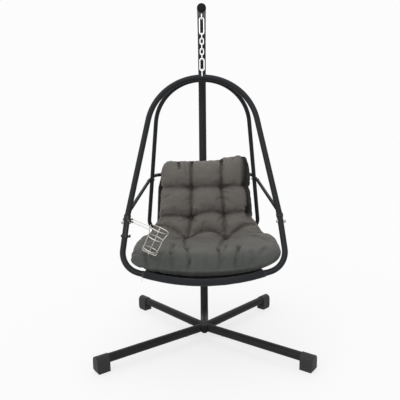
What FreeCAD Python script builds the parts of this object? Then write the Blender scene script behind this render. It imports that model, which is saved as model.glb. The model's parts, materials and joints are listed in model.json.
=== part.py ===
import FreeCAD, Part
import math
import os
from FreeCAD import Vector

# Hanging egg chair: a C-shaped steel stand, a chain with two snap hooks, and a
# tube basket with a fabric sling, a tufted cushion and a wire cup holder.
# Millimetres. The front faces -Y, +Z is up, and z = 0 is the floor. The origin is
# under the middle of the feet. Left in a name is -X, the left of someone in front.

X_AXIS = Vector(1, 0, 0)
Y_AXIS = Vector(0, 1, 0)
Z_AXIS = Vector(0, 0, 1)
ORIGIN = Vector(0, 0, 0)

# Stand
HUB_Y = -24.35
LEG_AXIS_Z = 65.0
MAST_D = 50.8
MAST_WALL = 2.0
MAST_LEAN = 11.5
MAST_TOP_Z = 1965.0
MAST_FRONT_Y = HUB_Y - 46.0
MAST_TIP_Y = -118.0
MAST_BOTTOM_BEND = 110.0
MAST_TOP_BEND = 500.0
TOP_BEND_END_Y = -45.0
MAST_JOINT_Z = 930.0
MAST_SPIGOT_LENGTH = 220.0
MAST_BOLT_D = 8.0
PLUG_STEM = 22.0
LEG_D = 50.0
LEG_WALL = 2.0
FRONT_LEG_ANGLE = 37.7
FRONT_LEG_REACH = 709.0
REAR_LEG_ANGLE = 47.9
REAR_LEG_REACH = 648.0
SOCKET_LENGTH = 100.0
SOCKET_SPIGOT = 75.0
FOOT_LENGTH = 76.0
FOOT_WIDTH = 57.0
FOOT_END_WALL = 8.0
FOOT_CHAMFER = 9.0
PLUG_DOME = 8.0

# Hanger
HANG_Y = -90.0
MAST_EYE_BOTTOM_Z = 1908.5
MAST_EYE_WIRE = 6.5
MAST_EYE_WIDTH = 24.0
HOOK_BAR = 7.0
HOOK_WIDTH = 31.0
UPPER_HOOK_LENGTH = 97.0
LOWER_HOOK_LENGTH = 74.0
HANG_GAP = 0.3
LINK_WIRE = 6.0
LINK_WIDTH = 25.0
LINK_PITCH = 28.2
LINK_COUNT = 5
BASKET_EYE_WIRE = 7.0
BASKET_EYE_WIDTH = 24.0
GUSSET_LENGTH = 70.0
GUSSET_HEIGHT = 10.0

# Basket hoops: each lies in a plane through its apex; lean is + towards the front
ARCH_D = 32.0
ARCH_WALL = 1.6
ARCH_APEX = Vector(0, -83.0, 1594.0)
ARCH_LEAN = 18.0
ARCH_TOP_RADIUS = 313.0
ARCH_FLARE = 11.15
ARCH_SIDE_DROP = 798.0
BOW_LEAN = 23.3
BOW_CORNER_RADIUS = 115.0
BOW_BOTTOM_RADIUS = 1150.0
BOW_HALF_WIDTH = 442.0
BOW_DROP = 363.0
REAR_D = 25.0
REAR_WALL = 1.5
REAR_APEX = Vector(0, -55.0, 1582.0)
REAR_LEAN = -14.0
REAR_TOP_RADIUS = 277.0
REAR_TOP_FLAT = 8.0
REAR_FLARE = 6.45
REAR_DROP = 966.0
REAR_CORNER_RADIUS = 70.0
JOINT_SPIGOT_BELOW = 60.0
JOINT_SPIGOT_ABOVE = 30.0
COLLAR_D = 38.0
COLLAR_ABOVE = 6.0
COLLAR_BELOW = 13.0
SIDE_BOLT_DROP = 37.0
SIDE_BOLT_D = 8.0
SIDE_NUT_D = 16.0
SIDE_BOLT_REACH = 30.5
BRACE_D = 20.0
BRACE_WALL = 1.5
BRACE_DROP = 782.0
BRACE_CROSSING_DROP = 612.0
BRACE_BOLT_D = 6.0
BRACE_HEAD_D = 14.0
TAB_THICKNESS = 5.0
TAB_D = 22.0
NECK_LENGTH = 26.0
RAIL_ABOVE_CROSSING = 22.0
RAIL_D = 22.0
RAIL_Y = 196.0
RAIL_Z = 1010.0
RAIL_HALF_WIDTH = 292.0
RAIL_CORNER_RADIUS = 45.0

# Sling and cushion
SLEEVE_D = 38.5
SLEEVE_HALF_WIDTH = 326.0
RAIL_SLEEVE_D = 27.0
RAIL_SLEEVE_HALF_WIDTH = 268.0
SLING_THICKNESS = 2.4
SLING_GAP = 3.0
CUSHION_X = 15.0
CREASE_SHARE = 0.35

# Cup holder on the left side tube of the bow
CLAMP_D = 44.0
UPPER_CLAMP_AT = 20.5
LOWER_CLAMP_AT = 112.0
CLAMP_HEIGHT = 11.0
HOLDER_WIRE = 5.0
WIRE_END_GAP = 0.8
ARM_SPREAD = 15.0
ARM_BEND_AT = 19.0
ARM_BEND_RADIUS = 6.5
ARM_SLEEVE_LENGTH = 26.0
ARM_SLEEVE_WALL = 1.6
CUP_RIM_RADIUS = 53.0
CUP_RADIUS = 41.0
CUP_FLARE = 40.0
CUP_RING_DROPS = [50.0, 118.0]
CUP_HEIGHT = 138.0
CUP_TILT = 25.0
CUP_CENTRE = Vector(-233.0, -428.0, 778.0)
CUP_CORNER_RADIUS = 8.0
KNOB_D = 16.0
KNOB_LENGTH = 7.0
KNOB_NECK = 2.0
FIT_GAP = 0.3


def sine(degrees):
    return math.sin(math.radians(degrees))


def cosine(degrees):
    return math.cos(math.radians(degrees))


def tangent(degrees):
    return math.tan(math.radians(degrees))


def unit(vector):
    return Vector(vector).normalize()


def turned(shape, degrees, axis, about=ORIGIN):
    result = shape.copy()
    result.rotate(about, axis, degrees)
    return result


def fused(shapes):
    result = shapes[0]
    for shape in shapes[1:]:
        result = result.fuse(shape)
    return result.removeSplitter()


def rod(start, end, radius):
    return Part.makeCylinder(radius, (end - start).Length, start, end - start)


def mirrored(shape):
    return shape.mirror(ORIGIN, X_AXIS)


def rounded_path(points, radii):
    """A wire through the points whose inner corners are arcs of the given radii."""
    edges = []
    start = points[0]
    for before, corner, after, radius in zip(points, points[1:], points[2:], radii):
        back = unit(before - corner)
        ahead = unit(after - corner)
        half = back.getAngle(ahead) / 2
        reach = radius / math.tan(half)
        middle = corner + unit(back + ahead) * (radius / math.sin(half) - radius)
        arc_start = corner + back * reach
        arc_end = corner + ahead * reach
        if (arc_start - start).Length > 0.01:
            edges.append(Part.LineSegment(start, arc_start).toShape())
        edges.append(Part.Arc(arc_start, middle, arc_end).toShape())
        start = arc_end
    if (points[-1] - start).Length > 0.01:
        edges.append(Part.LineSegment(start, points[-1]).toShape())
    return Part.Wire(edges)


def swept(points, radii, radius):
    """A round bar of one radius along a rounded path."""
    path = rounded_path(points, radii)
    first = path.Edges[0]
    heading = first.tangentAt(first.FirstParameter)
    if (first.valueAt(first.FirstParameter) - points[0]).Length > 0.01:
        heading = first.tangentAt(first.LastParameter) * -1
    circle = Part.Wire(Part.makeCircle(radius, points[0], heading))
    return path.makePipeShell([circle], True, False)


def tube(points, radii, diameter, wall):
    outer = swept(points, radii, diameter / 2)
    return outer.cut(swept(points, radii, diameter / 2 - wall))


def plane_point(apex, lean, across, down):
    """A point of a leaning hoop plane, from its apex."""
    return apex + Vector(across, -down * sine(lean), -down * cosine(lean))


# Mast

def mast_corners():
    """The two corner points of the mast's side view."""
    top_turn = 90 + MAST_LEAN
    top_y = TOP_BEND_END_Y + MAST_TOP_BEND * tangent(top_turn / 2)
    bottom_y = top_y - (MAST_TOP_Z - LEG_AXIS_Z) * tangent(MAST_LEAN)
    return Vector(0, bottom_y, LEG_AXIS_Z), Vector(0, top_y, MAST_TOP_Z)


def mast_at(height):
    """The point of the straight part of the mast at this height."""
    bottom, top = mast_corners()
    share = (height - bottom.z) / (top.z - bottom.z)
    return bottom + (top - bottom) * share


def mast_direction():
    bottom, top = mast_corners()
    return unit(top - bottom)


def mast_lower_points():
    return [Vector(0, MAST_FRONT_Y, LEG_AXIS_Z), mast_corners()[0], mast_at(MAST_JOINT_Z)]


def mast_upper_points():
    return [mast_at(MAST_JOINT_Z), mast_corners()[1], Vector(0, MAST_TIP_Y, MAST_TOP_Z)]


def mast_bolt_places():
    along = mast_direction() * (MAST_SPIGOT_LENGTH / 4)
    return [mast_at(MAST_JOINT_Z) - along, mast_at(MAST_JOINT_Z) + along]


def mast_bolt_holes(shape, radius):
    for place in mast_bolt_places():
        shape = shape.cut(rod(place - X_AXIS * MAST_D, place + X_AXIS * MAST_D, radius))
    return shape


def make_mast(parts):
    bolt_radius = MAST_BOLT_D / 2
    bore = MAST_D / 2 - MAST_WALL
    lower = tube(mast_lower_points(), [MAST_BOTTOM_BEND], MAST_D, MAST_WALL)
    upper = tube(mast_upper_points(), [MAST_TOP_BEND], MAST_D, MAST_WALL)
    parts["mast_lower"] = mast_bolt_holes(lower, bolt_radius)
    parts["mast_upper"] = mast_bolt_holes(upper, bolt_radius)

    along = mast_direction() * (MAST_SPIGOT_LENGTH / 2)
    middle = mast_at(MAST_JOINT_Z)
    spigot = rod(middle - along, middle + along, bore)
    spigot = spigot.cut(rod(middle - along, middle + along, bore - MAST_WALL))
    parts["mast_spigot"] = mast_bolt_holes(spigot, bolt_radius)
    make_mast_fasteners(parts)

    front = Vector(0, MAST_FRONT_Y, LEG_AXIS_Z)
    tip = Vector(0, MAST_TIP_Y, MAST_TOP_Z)
    parts["mast_foot_plug"] = tube_plug(front, Y_AXIS * -1, MAST_D / 2, bore, PLUG_DOME)
    parts["mast_tip_plug"] = tube_plug(tip, Y_AXIS * -1, MAST_D / 2, bore, PLUG_DOME / 2)


def make_mast_fasteners(parts):
    """Two bolts with nuts through the joint of the two mast tubes."""
    bolts = []
    nuts = []
    head_radius, head_height = 7.5, 5.0
    nut_half, nut_height, thread_end = 6.5, 6.0, 7.0
    for place in mast_bolt_places():
        head_end = place - X_AXIS * (MAST_D / 2)
        nut_end = place + X_AXIS * (MAST_D / 2)
        shank = rod(head_end, nut_end + X_AXIS * thread_end, MAST_BOLT_D / 2)
        bolts.append(fused([shank, domed_head(head_end, X_AXIS * -1, head_radius, head_height)]))
        nuts.append(hex_nut(nut_end, X_AXIS, nut_half, nut_height, MAST_BOLT_D / 2))
    parts["mast_joint_bolts"] = Part.makeCompound(bolts)
    parts["mast_joint_nuts"] = Part.makeCompound(nuts)


def domed_head(base, outward, radius, height):
    """A low round bolt head: the cap of a sphere standing on base."""
    sphere_radius = (radius ** 2 + height ** 2) / (2 * height)
    centre = base - unit(outward) * (sphere_radius - height)
    ball = Part.makeSphere(sphere_radius, centre)
    keep = Part.makeCylinder(radius * 1.5, height * 1.5, base, outward)
    return ball.common(keep)


def hex_nut(base, outward, half_flats, height, bore_radius):
    corner = half_flats / cosine(30)
    points = [Vector(corner * cosine(60 * i), corner * sine(60 * i), 0) for i in range(7)]
    prism = Part.Face(Part.makePolygon(points)).extrude(Z_AXIS * height)
    prism = prism.cut(Part.makeCylinder(bore_radius, height))
    prism.Placement = FreeCAD.Placement(base, FreeCAD.Rotation(Z_AXIS, outward))
    return prism


def tube_plug(end, outward, radius, bore, dome):
    """A plastic plug: a stem in the bore and a low dome over the tube's end."""
    stem = rod(end - unit(outward) * PLUG_STEM, end, bore)
    return fused([stem, domed_head(end, outward, radius, dome)])


# Base

def leg_direction(angle, side, forward):
    return Vector(side * cosine(angle), forward * sine(angle), 0)


def make_base(parts):
    hub = Vector(0, HUB_Y, LEG_AXIS_Z)
    front_end = Vector(0, MAST_FRONT_Y, LEG_AXIS_Z)
    mast_core = swept(mast_lower_points(), [MAST_BOTTOM_BEND], MAST_D / 2)
    mast_core = mast_core.fuse(rod(front_end - Y_AXIS * PLUG_DOME, front_end, MAST_D / 2))
    screw_at = SOCKET_LENGTH + SOCKET_SPIGOT * 0.55
    screw_radius = 4.0
    spigot_radius = LEG_D / 2 - LEG_WALL
    legs = [("front", FRONT_LEG_ANGLE, -1, FRONT_LEG_REACH),
            ("rear", REAR_LEG_ANGLE, 1, REAR_LEG_REACH)]
    screws = []
    for side_name, side in [("left", -1), ("right", 1)]:
        socket_parts = []
        for end_name, angle, forward, reach in legs:
            direction = leg_direction(angle, side, forward)
            socket_end = hub + direction * SOCKET_LENGTH
            spigot_end = socket_end + direction * SOCKET_SPIGOT
            socket_parts.append(rod(hub, socket_end, LEG_D / 2))
            socket_parts.append(rod(socket_end, spigot_end, spigot_radius))

            leg_end = hub + direction * (reach + FOOT_LENGTH / 2 - FOOT_END_WALL)
            leg = rod(socket_end, leg_end, LEG_D / 2).cut(rod(socket_end, leg_end, spigot_radius))
            place = hub + direction * screw_at
            hole = rod(place - Z_AXIS * LEG_D, place, screw_radius)
            parts["leg_" + end_name + "_" + side_name] = leg.cut(hole)
            screws.append(leg_screw(place, screw_radius))
            parts["foot_cap_" + end_name + "_" + side_name] = foot_cap(hub, direction, reach)
        socket = fused(socket_parts).cut(mast_core)
        for end_name, angle, forward, reach in legs:
            place = hub + leg_direction(angle, side, forward) * screw_at
            socket = socket.cut(rod(place - Z_AXIS * LEG_D, place, screw_radius))
        parts["leg_socket_" + side_name] = max(socket.Solids, key=lambda solid: solid.Volume)
    parts["leg_screws"] = Part.makeCompound(screws)


def leg_screw(place, radius):
    """A screw with its washer, from below through the leg into the spigot."""
    head_radius, head_height = 7.5, 4.5
    washer_radius, washer_height = 8.5, 1.0
    underside = place - Z_AXIS * (LEG_D / 2)
    washer_face = underside - Z_AXIS * washer_height
    shank = rod(washer_face, place - Z_AXIS * 2, radius)
    head = domed_head(washer_face, Z_AXIS * -1, head_radius, head_height)
    washer = rod(washer_face, underside, washer_radius)
    return fused([shank, head, washer])


def foot_cap(hub, direction, reach):
    """A moulded cap: round over the leg's end, flat on the floor."""
    half_width = FOOT_WIDTH / 2
    half_length = FOOT_LENGTH / 2
    lower = Part.makeBox(FOOT_LENGTH, FOOT_WIDTH, LEG_AXIS_Z, Vector(-half_length, -half_width, 0))
    upper = Part.makeCylinder(half_width, FOOT_LENGTH, Vector(-half_length, 0, LEG_AXIS_Z), X_AXIS)
    bore_length = FOOT_LENGTH - FOOT_END_WALL
    bore = Part.makeCylinder(LEG_D / 2, bore_length, Vector(-half_length, 0, LEG_AXIS_Z), X_AXIS)
    wedge = Part.makePolygon([Vector(half_length + 1, -half_width - 1, -1),
                              Vector(half_length + 1, -half_width - 1, FOOT_CHAMFER * 2),
                              Vector(half_length - FOOT_CHAMFER, -half_width - 1, -1),
                              Vector(half_length + 1, -half_width - 1, -1)])
    wedge = Part.Face(wedge).extrude(Y_AXIS * (FOOT_WIDTH + 2))
    cap = fused([lower, upper]).cut(bore).cut(wedge)
    cap.Placement = FreeCAD.Placement(Vector(hub.x, hub.y, 0) + direction * reach,
                                      FreeCAD.Rotation(X_AXIS, direction))
    return cap


# Hanger

def hanger_heights():
    """Heights of the hanging pieces, stacked down from the mast's eye."""
    heights = {}
    eye_seat = MAST_EYE_BOTTOM_Z + MAST_EYE_WIRE
    heights["eye_wire"] = MAST_EYE_BOTTOM_Z + MAST_EYE_WIRE / 2
    hook_top = eye_seat + HANG_GAP + HOOK_BAR
    heights["upper_hook"] = hook_top - UPPER_HOOK_LENGTH / 2
    heights["upper_bar"] = hook_top - UPPER_HOOK_LENGTH + HOOK_BAR / 2
    seat = heights["upper_bar"] + HOOK_BAR / 2
    first = seat + HANG_GAP - LINK_PITCH / 2
    spacing = LINK_PITCH - HANG_GAP
    heights["links"] = [first - spacing * i for i in range(LINK_COUNT)]
    seat = heights["links"][-1] - LINK_PITCH / 2
    hook_top = seat + HANG_GAP + HOOK_BAR
    heights["lower_hook"] = hook_top - LOWER_HOOK_LENGTH / 2
    heights["basket_eye_top"] = hook_top - LOWER_HOOK_LENGTH + HOOK_BAR + HANG_GAP + BASKET_EYE_WIRE
    return heights


def make_snap_hook(parts, name, length, centre_z, gate_side):
    """A snap hook in the XZ plane: bent bar, sprung gate and gate pin."""
    half_width = (HOOK_WIDTH - HOOK_BAR) / 2
    half_length = (length - HOOK_BAR) / 2
    pin_z = -half_length * 0.36
    nose_z = half_length * 0.50
    bar_end_z = pin_z - 4.8
    bar_radius = HOOK_BAR / 2
    gate_radius = 3.2
    slot_width = 3.4
    tongue_width = 3.0
    pin_radius = 1.3
    pin_clearance = 0.05

    points = [Vector(-half_width, 0, bar_end_z), Vector(-half_width, 0, -half_length),
              Vector(half_width, 0, -half_length), Vector(half_width, 0, half_length),
              Vector(-half_width, 0, half_length), Vector(-half_width, 0, nose_z)]
    body = swept(points, [half_width - 0.02] * 4, bar_radius)
    tongue = Part.makeBox(5.0, tongue_width, 8.0, Vector(-half_width - 2.5, -tongue_width / 2, bar_end_z - 1))
    pin_start = Vector(-half_width, -gate_radius, pin_z)
    pin = Part.makeCylinder(pin_radius, gate_radius * 2, pin_start, Y_AXIS)
    body = fused([body, tongue]).cut(pin)

    gate_low = Vector(-half_width, 0, pin_z - 3.0)
    gate = rod(gate_low, Vector(-half_width, 0, nose_z - 0.4), gate_radius)
    slot = Part.makeBox(20, slot_width, 8.5, gate_low + Vector(-10, -slot_width / 2, -0.5))
    bore = Part.makeCylinder(pin_radius + pin_clearance, gate_radius * 2 + 2, pin_start - Y_AXIS, Y_AXIS)
    gate = gate.cut(slot).cut(bore)

    for suffix, shape in [("body", body), ("gate", gate), ("pin", pin)]:
        placed = shape if gate_side < 0 else turned(shape, 180, Z_AXIS)
        parts[name + "_" + suffix] = placed.translated(Vector(0, HANG_Y, centre_z))


def chain_link(centre, edge_on):
    """One oval link; an edge-on link lies in the YZ plane."""
    half_width = (LINK_WIDTH - LINK_WIRE) / 2
    half_length = (LINK_PITCH + LINK_WIRE) / 2
    upper = [Vector(-half_width, 0, 0), Vector(-half_width, 0, half_length),
             Vector(half_width, 0, half_length), Vector(half_width, 0, 0)]
    top = swept(upper, [half_width - 0.02] * 2, LINK_WIRE / 2)
    link = top.fuse(top.mirror(ORIGIN, Z_AXIS))
    if edge_on:
        link = turned(link, 90, Z_AXIS)
    return link.translated(centre)


def staple(width, top_z, low_z, wire):
    """An eye bent from round bar in the YZ plane, its round end at top_z."""
    half = (width - wire) / 2
    crown = top_z - math.copysign(wire / 2, top_z - low_z)
    points = [Vector(0, HANG_Y - half, low_z), Vector(0, HANG_Y - half, crown),
              Vector(0, HANG_Y + half, crown), Vector(0, HANG_Y + half, low_z)]
    return swept(points, [half - 0.02] * 2, wire / 2)


def make_hanger(parts):
    heights = hanger_heights()
    eye = staple(MAST_EYE_WIDTH, MAST_EYE_BOTTOM_Z, MAST_TOP_Z - MAST_D / 4, MAST_EYE_WIRE)
    eye = eye.cut(swept(mast_upper_points(), [MAST_TOP_BEND], MAST_D / 2))
    parts["mast_eye"] = max(eye.Solids, key=lambda solid: solid.Volume)
    make_snap_hook(parts, "upper_hook", UPPER_HOOK_LENGTH, heights["upper_hook"], 1)
    make_snap_hook(parts, "lower_hook", LOWER_HOOK_LENGTH, heights["lower_hook"], -1)
    for index, height in enumerate(heights["links"]):
        link = chain_link(Vector(0, HANG_Y, height), index % 2 == 0)
        parts["chain_link_" + str(index + 1)] = link


# Basket frame

def arch_points():
    corner = ARCH_TOP_RADIUS * tangent((90 - ARCH_FLARE) / 2) + 0.02
    foot = corner + ARCH_SIDE_DROP * tangent(ARCH_FLARE)
    flat = [(-foot, ARCH_SIDE_DROP), (-corner, 0), (corner, 0), (foot, ARCH_SIDE_DROP)]
    return [plane_point(ARCH_APEX, ARCH_LEAN, across, down) for across, down in flat]


def arch_side(drop, side):
    """A point on the straight side of the arch, this far down its plane."""
    corner = ARCH_TOP_RADIUS * tangent((90 - ARCH_FLARE) / 2)
    across = side * (corner + drop * tangent(ARCH_FLARE))
    return plane_point(ARCH_APEX, ARCH_LEAN, across, drop)


def bow_origin():
    """The middle between the two joints, from which the bow plane hangs."""
    joint = arch_points()[0]
    return Vector(0, joint.y, joint.z)


def bow_points():
    joint_half = abs(arch_points()[0].x)
    slope = math.degrees(math.asin(BOW_HALF_WIDTH * 0.765 / BOW_BOTTOM_RADIUS))
    vertex_drop = BOW_DROP + BOW_BOTTOM_RADIUS * (1 / cosine(slope) - 1)
    corner_drop = vertex_drop - BOW_HALF_WIDTH * tangent(slope)
    flat = [(-joint_half, 0), (-BOW_HALF_WIDTH, corner_drop), (0, vertex_drop),
            (BOW_HALF_WIDTH, corner_drop), (joint_half, 0)]
    return [plane_point(bow_origin(), BOW_LEAN, across, down) for across, down in flat]


BOW_RADII = [BOW_CORNER_RADIUS, BOW_BOTTOM_RADIUS, BOW_CORNER_RADIUS]


def bow_side(side):
    """The joint and the unit direction down the bow's straight side."""
    points = bow_points()
    joint, corner = (points[0], points[1]) if side < 0 else (points[-1], points[-2])
    return joint, unit(corner - joint)


def rear_flat_points():
    corner = REAR_TOP_RADIUS * tangent((90 - REAR_FLARE) / 2) + REAR_TOP_FLAT / 2
    foot = corner + REAR_DROP * tangent(REAR_FLARE)
    return corner, foot


def rear_side(drop, side):
    corner, foot = rear_flat_points()
    across = side * (corner + drop * tangent(REAR_FLARE))
    return plane_point(REAR_APEX, REAR_LEAN, across, drop)


def rear_bar(radius):
    """The closed rear hoop as a solid bar."""
    corner, foot = rear_flat_points()
    flat = [(0, 0), (corner, 0), (foot, REAR_DROP), (0, REAR_DROP)]
    points = [plane_point(REAR_APEX, REAR_LEAN, across, down) for across, down in flat]
    half = swept(points, [REAR_TOP_RADIUS, REAR_CORNER_RADIUS], radius)
    return half.fuse(mirrored(half))


def arch_bar(radius):
    return swept(arch_points(), [ARCH_TOP_RADIUS] * 2, radius)


def bow_bar(radius):
    return swept(bow_points(), BOW_RADII, radius)


def make_rear_hoop(parts):
    hoop = rear_bar(REAR_D / 2).cut(rear_bar(REAR_D / 2 - REAR_WALL))
    for side in (-1, 1):
        hoop = hoop.cut(brace_bolt_core(side))
    parts["rear_hoop"] = hoop


def make_front_hoop(parts):
    """The arch and the bow, joined by an inner spigot, a collar and a bolt a side."""
    bow = bow_bar(ARCH_D / 2).cut(bow_bar(ARCH_D / 2 - ARCH_WALL)).cut(arch_bar(ARCH_D / 2))
    bolts = []
    nuts = []
    for name, side in [("left", -1), ("right", 1)]:
        joint, down = bow_side(side)
        centre = joint + down * SIDE_BOLT_DROP
        hole = rod(centre - X_AXIS * ARCH_D * 2, centre + X_AXIS * ARCH_D * 2, SIDE_BOLT_D / 2)
        bow = bow.cut(hole)
        bolt, nut = side_bolt(centre, side)
        bolts.append(bolt)
        nuts.append(nut)
        parts["joint_spigot_" + name] = joint_spigot(side).cut(hole)
        parts["joint_collar_" + name] = joint_collar(side)
    parts["front_arch"] = arch_bar(ARCH_D / 2).cut(arch_bar(ARCH_D / 2 - ARCH_WALL))
    parts["seat_bow"] = max(bow.Solids, key=lambda solid: solid.Volume)
    parts["side_bolts"] = Part.makeCompound(bolts)
    parts["side_cap_nuts"] = Part.makeCompound(nuts)


def bent_bar(side, above, below, radius):
    """A round bar along both tubes at a side joint, with a ball at the bend."""
    joint, down = bow_side(side)
    up = unit(arch_side(0, side) - arch_side(ARCH_SIDE_DROP, side))
    return fused([rod(joint + up * above, joint, radius),
                  rod(joint, joint + down * below, radius),
                  Part.makeSphere(radius, joint)])


def joint_spigot(side):
    """A short tube inside the side joint."""
    radius = ARCH_D / 2 - ARCH_WALL - 0.1
    outer = bent_bar(side, JOINT_SPIGOT_ABOVE, JOINT_SPIGOT_BELOW, radius)
    return outer.cut(bent_bar(side, JOINT_SPIGOT_ABOVE + 1, JOINT_SPIGOT_BELOW + 1, radius - 2))


def side_bolt(centre, side):
    """A bolt along X with washer and round head inside and a cap nut outside."""
    out = X_AXIS * side
    washer_radius, washer_height = 8.5, 1.6
    face = ARCH_D / 2
    head_height = SIDE_BOLT_REACH - face - washer_height
    inner_face = centre - out * (face + washer_height)
    outer_face = centre + out * (face + washer_height)
    washer_hole = rod(centre - out * 40, centre + out * 40, SIDE_BOLT_D / 2)
    shank = rod(inner_face, outer_face + out * (head_height - 4), SIDE_BOLT_D / 2)
    head = domed_head(inner_face, out * -1, SIDE_NUT_D / 2, SIDE_NUT_D / 2 * 0.9)
    head_washer = rod(centre - out * (face - 1), inner_face, washer_radius).cut(washer_hole)
    bolt = fused([shank, head, head_washer.common(outside_of_tube(centre, side))])
    nut_washer = rod(centre + out * (face - 1), outer_face, washer_radius)
    hexagon = hex_nut(outer_face, out, SIDE_NUT_D / 2, 6.0, SIDE_BOLT_D / 2)
    cap = domed_head(outer_face + out * 6.0, out, SIDE_NUT_D / 2, head_height - 6.0)
    nut = fused([nut_washer.common(outside_of_tube(centre, side)), hexagon, cap]).cut(shank)
    return bolt, max(nut.Solids, key=lambda solid: solid.Volume)


def outside_of_tube(centre, side):
    """A block round the bolt with the side tube taken out."""
    joint, down = bow_side(side)
    block = Part.makeBox(90, 40, 40, centre - Vector(45, 20, 20))
    return block.cut(rod(centre - down * 60, centre + down * 60, ARCH_D / 2))


def joint_collar(side):
    """A plastic ring over the seam of the two tubes, cut square at both ends."""
    joint, down = bow_side(side)
    up = unit(arch_side(0, side) - arch_side(ARCH_SIDE_DROP, side))
    outer = bent_bar(side, COLLAR_ABOVE, COLLAR_BELOW, COLLAR_D / 2)
    core = bent_bar(side, COLLAR_D, COLLAR_D, ARCH_D / 2)
    above = rod(joint + up * COLLAR_ABOVE, joint + up * COLLAR_D, COLLAR_D)
    below = rod(joint + down * COLLAR_BELOW, joint + down * COLLAR_D, COLLAR_D)
    return outer.cut(core).cut(above).cut(below)


def brace_crossing(side):
    """Where the brace's tab lies on the outer side of the rear hoop."""
    on_hoop = rear_side(BRACE_CROSSING_DROP, side)
    return on_hoop + X_AXIS * side * (REAR_D / 2 + TAB_THICKNESS / 2)


def brace_bolt_core(side):
    place = brace_crossing(side)
    return rod(place - X_AXIS * REAR_D * 2, place + X_AXIS * REAR_D * 2, BRACE_BOLT_D / 2)


def make_braces(parts):
    """A tube from each side of the arch to the rear hoop, bolted on by a flat tab."""
    bolts = []
    nuts = []
    head_height, head_room = 5.0, 20.0
    nut_half, nut_height, thread_end = 5.0, 5.0, 6.0
    rear_core = rear_bar(REAR_D / 2)
    for name, side in [("left", -1), ("right", 1)]:
        out = X_AXIS * side
        start = arch_side(BRACE_DROP, side)
        tab_centre = brace_crossing(side)
        approach = unit(tab_centre - start)
        neck = tab_centre - approach * NECK_LENGTH
        inner_face = rear_side(BRACE_CROSSING_DROP, side) - out * (REAR_D / 2)
        tab_face = tab_centre + out * (TAB_THICKNESS / 2)
        tab = rod(tab_face - out * TAB_THICKNESS, tab_face, TAB_D / 2)
        brace = fused([tube([start, neck], [], BRACE_D, BRACE_WALL), tab,
                       flattened_end(neck, approach, tab_centre)])
        brace = brace.cut(arch_bar(ARCH_D / 2)).cut(rear_core).cut(brace_bolt_core(side))
        brace = brace.cut(rod(tab_face, tab_face + out * head_room, BRACE_HEAD_D / 2 + FIT_GAP))
        parts["brace_" + name] = max(brace.Solids, key=lambda solid: solid.Volume)

        shank = rod(inner_face - out * thread_end, tab_face, BRACE_BOLT_D / 2)
        bolts.append(fused([shank, domed_head(tab_face, out, BRACE_HEAD_D / 2, head_height)]))
        nut = hex_nut(inner_face, out * -1, nut_half, nut_height, BRACE_BOLT_D / 2)
        nuts.append(nut.cut(rear_core))
    parts["brace_bolts"] = Part.makeCompound(bolts)
    parts["brace_nuts"] = Part.makeCompound(nuts)


def flattened_end(neck, approach, tab_centre):
    """The squashed tube end between the round brace and its tab."""
    width_share = 0.8
    side_step = unit(approach.cross(X_AXIS)) * width_share
    sections = []
    steps = [(neck, BRACE_D / 2, BRACE_D / 2), (tab_centre, TAB_THICKNESS / 2, TAB_D / 2)]
    for centre, half_thick, half_wide in steps:
        corners = [centre + X_AXIS * half_thick * a + side_step * half_wide * b
                   for a, b in [(-1, -1), (1, -1), (1, 1), (-1, 1), (-1, -1)]]
        sections.append(Part.makePolygon(corners))
    return Part.makeLoft(sections, True, True)


def rail_points():
    drop = BRACE_CROSSING_DROP - RAIL_ABOVE_CROSSING
    ends = [rear_side(drop, side) for side in (-1, 1)]
    left = Vector(-RAIL_HALF_WIDTH, RAIL_Y, RAIL_Z)
    right = Vector(RAIL_HALF_WIDTH, RAIL_Y, RAIL_Z)
    return [ends[0], left, right, ends[1]]


def make_back_rail(parts):
    rail = tube(rail_points(), [RAIL_CORNER_RADIUS] * 2, RAIL_D, REAR_WALL)
    rail = rail.cut(rear_bar(REAR_D / 2))
    parts["back_rail"] = max(rail.Solids, key=lambda solid: solid.Volume)


def make_apex(parts):
    """The eye on the arch's top, and the bar in the groove under both hoops."""
    arch_core = arch_bar(ARCH_D / 2)
    rear_core = rear_bar(REAR_D / 2)
    eye_top = hanger_heights()["basket_eye_top"]
    eye = staple(BASKET_EYE_WIDTH, eye_top, ARCH_APEX.z + ARCH_D / 8, BASKET_EYE_WIRE)
    eye = eye.cut(arch_core).cut(rear_core)
    parts["basket_eye"] = max(eye.Solids, key=lambda solid: solid.Volume)
    low = Vector(-GUSSET_LENGTH / 2, ARCH_APEX.y, ARCH_APEX.z - ARCH_D / 2 - GUSSET_HEIGHT * 0.4)
    bar = Part.makeBox(GUSSET_LENGTH, REAR_APEX.y - ARCH_APEX.y, GUSSET_HEIGHT, low)
    bar = bar.cut(arch_core).cut(rear_core)
    parts["apex_gusset"] = max(bar.Solids, key=lambda solid: solid.Volume)


# Sling and cushion

def station_frame(y, z, tilt):
    """The place and the upward normal of a cross-section of the seat."""
    return Vector(0, y, z), Vector(0, -sine(tilt), cosine(tilt))


def section_point(base, normal, across, height):
    return base + X_AXIS * across + normal * height


def arc_through(points):
    return Part.Arc(*points).toShape()


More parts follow.
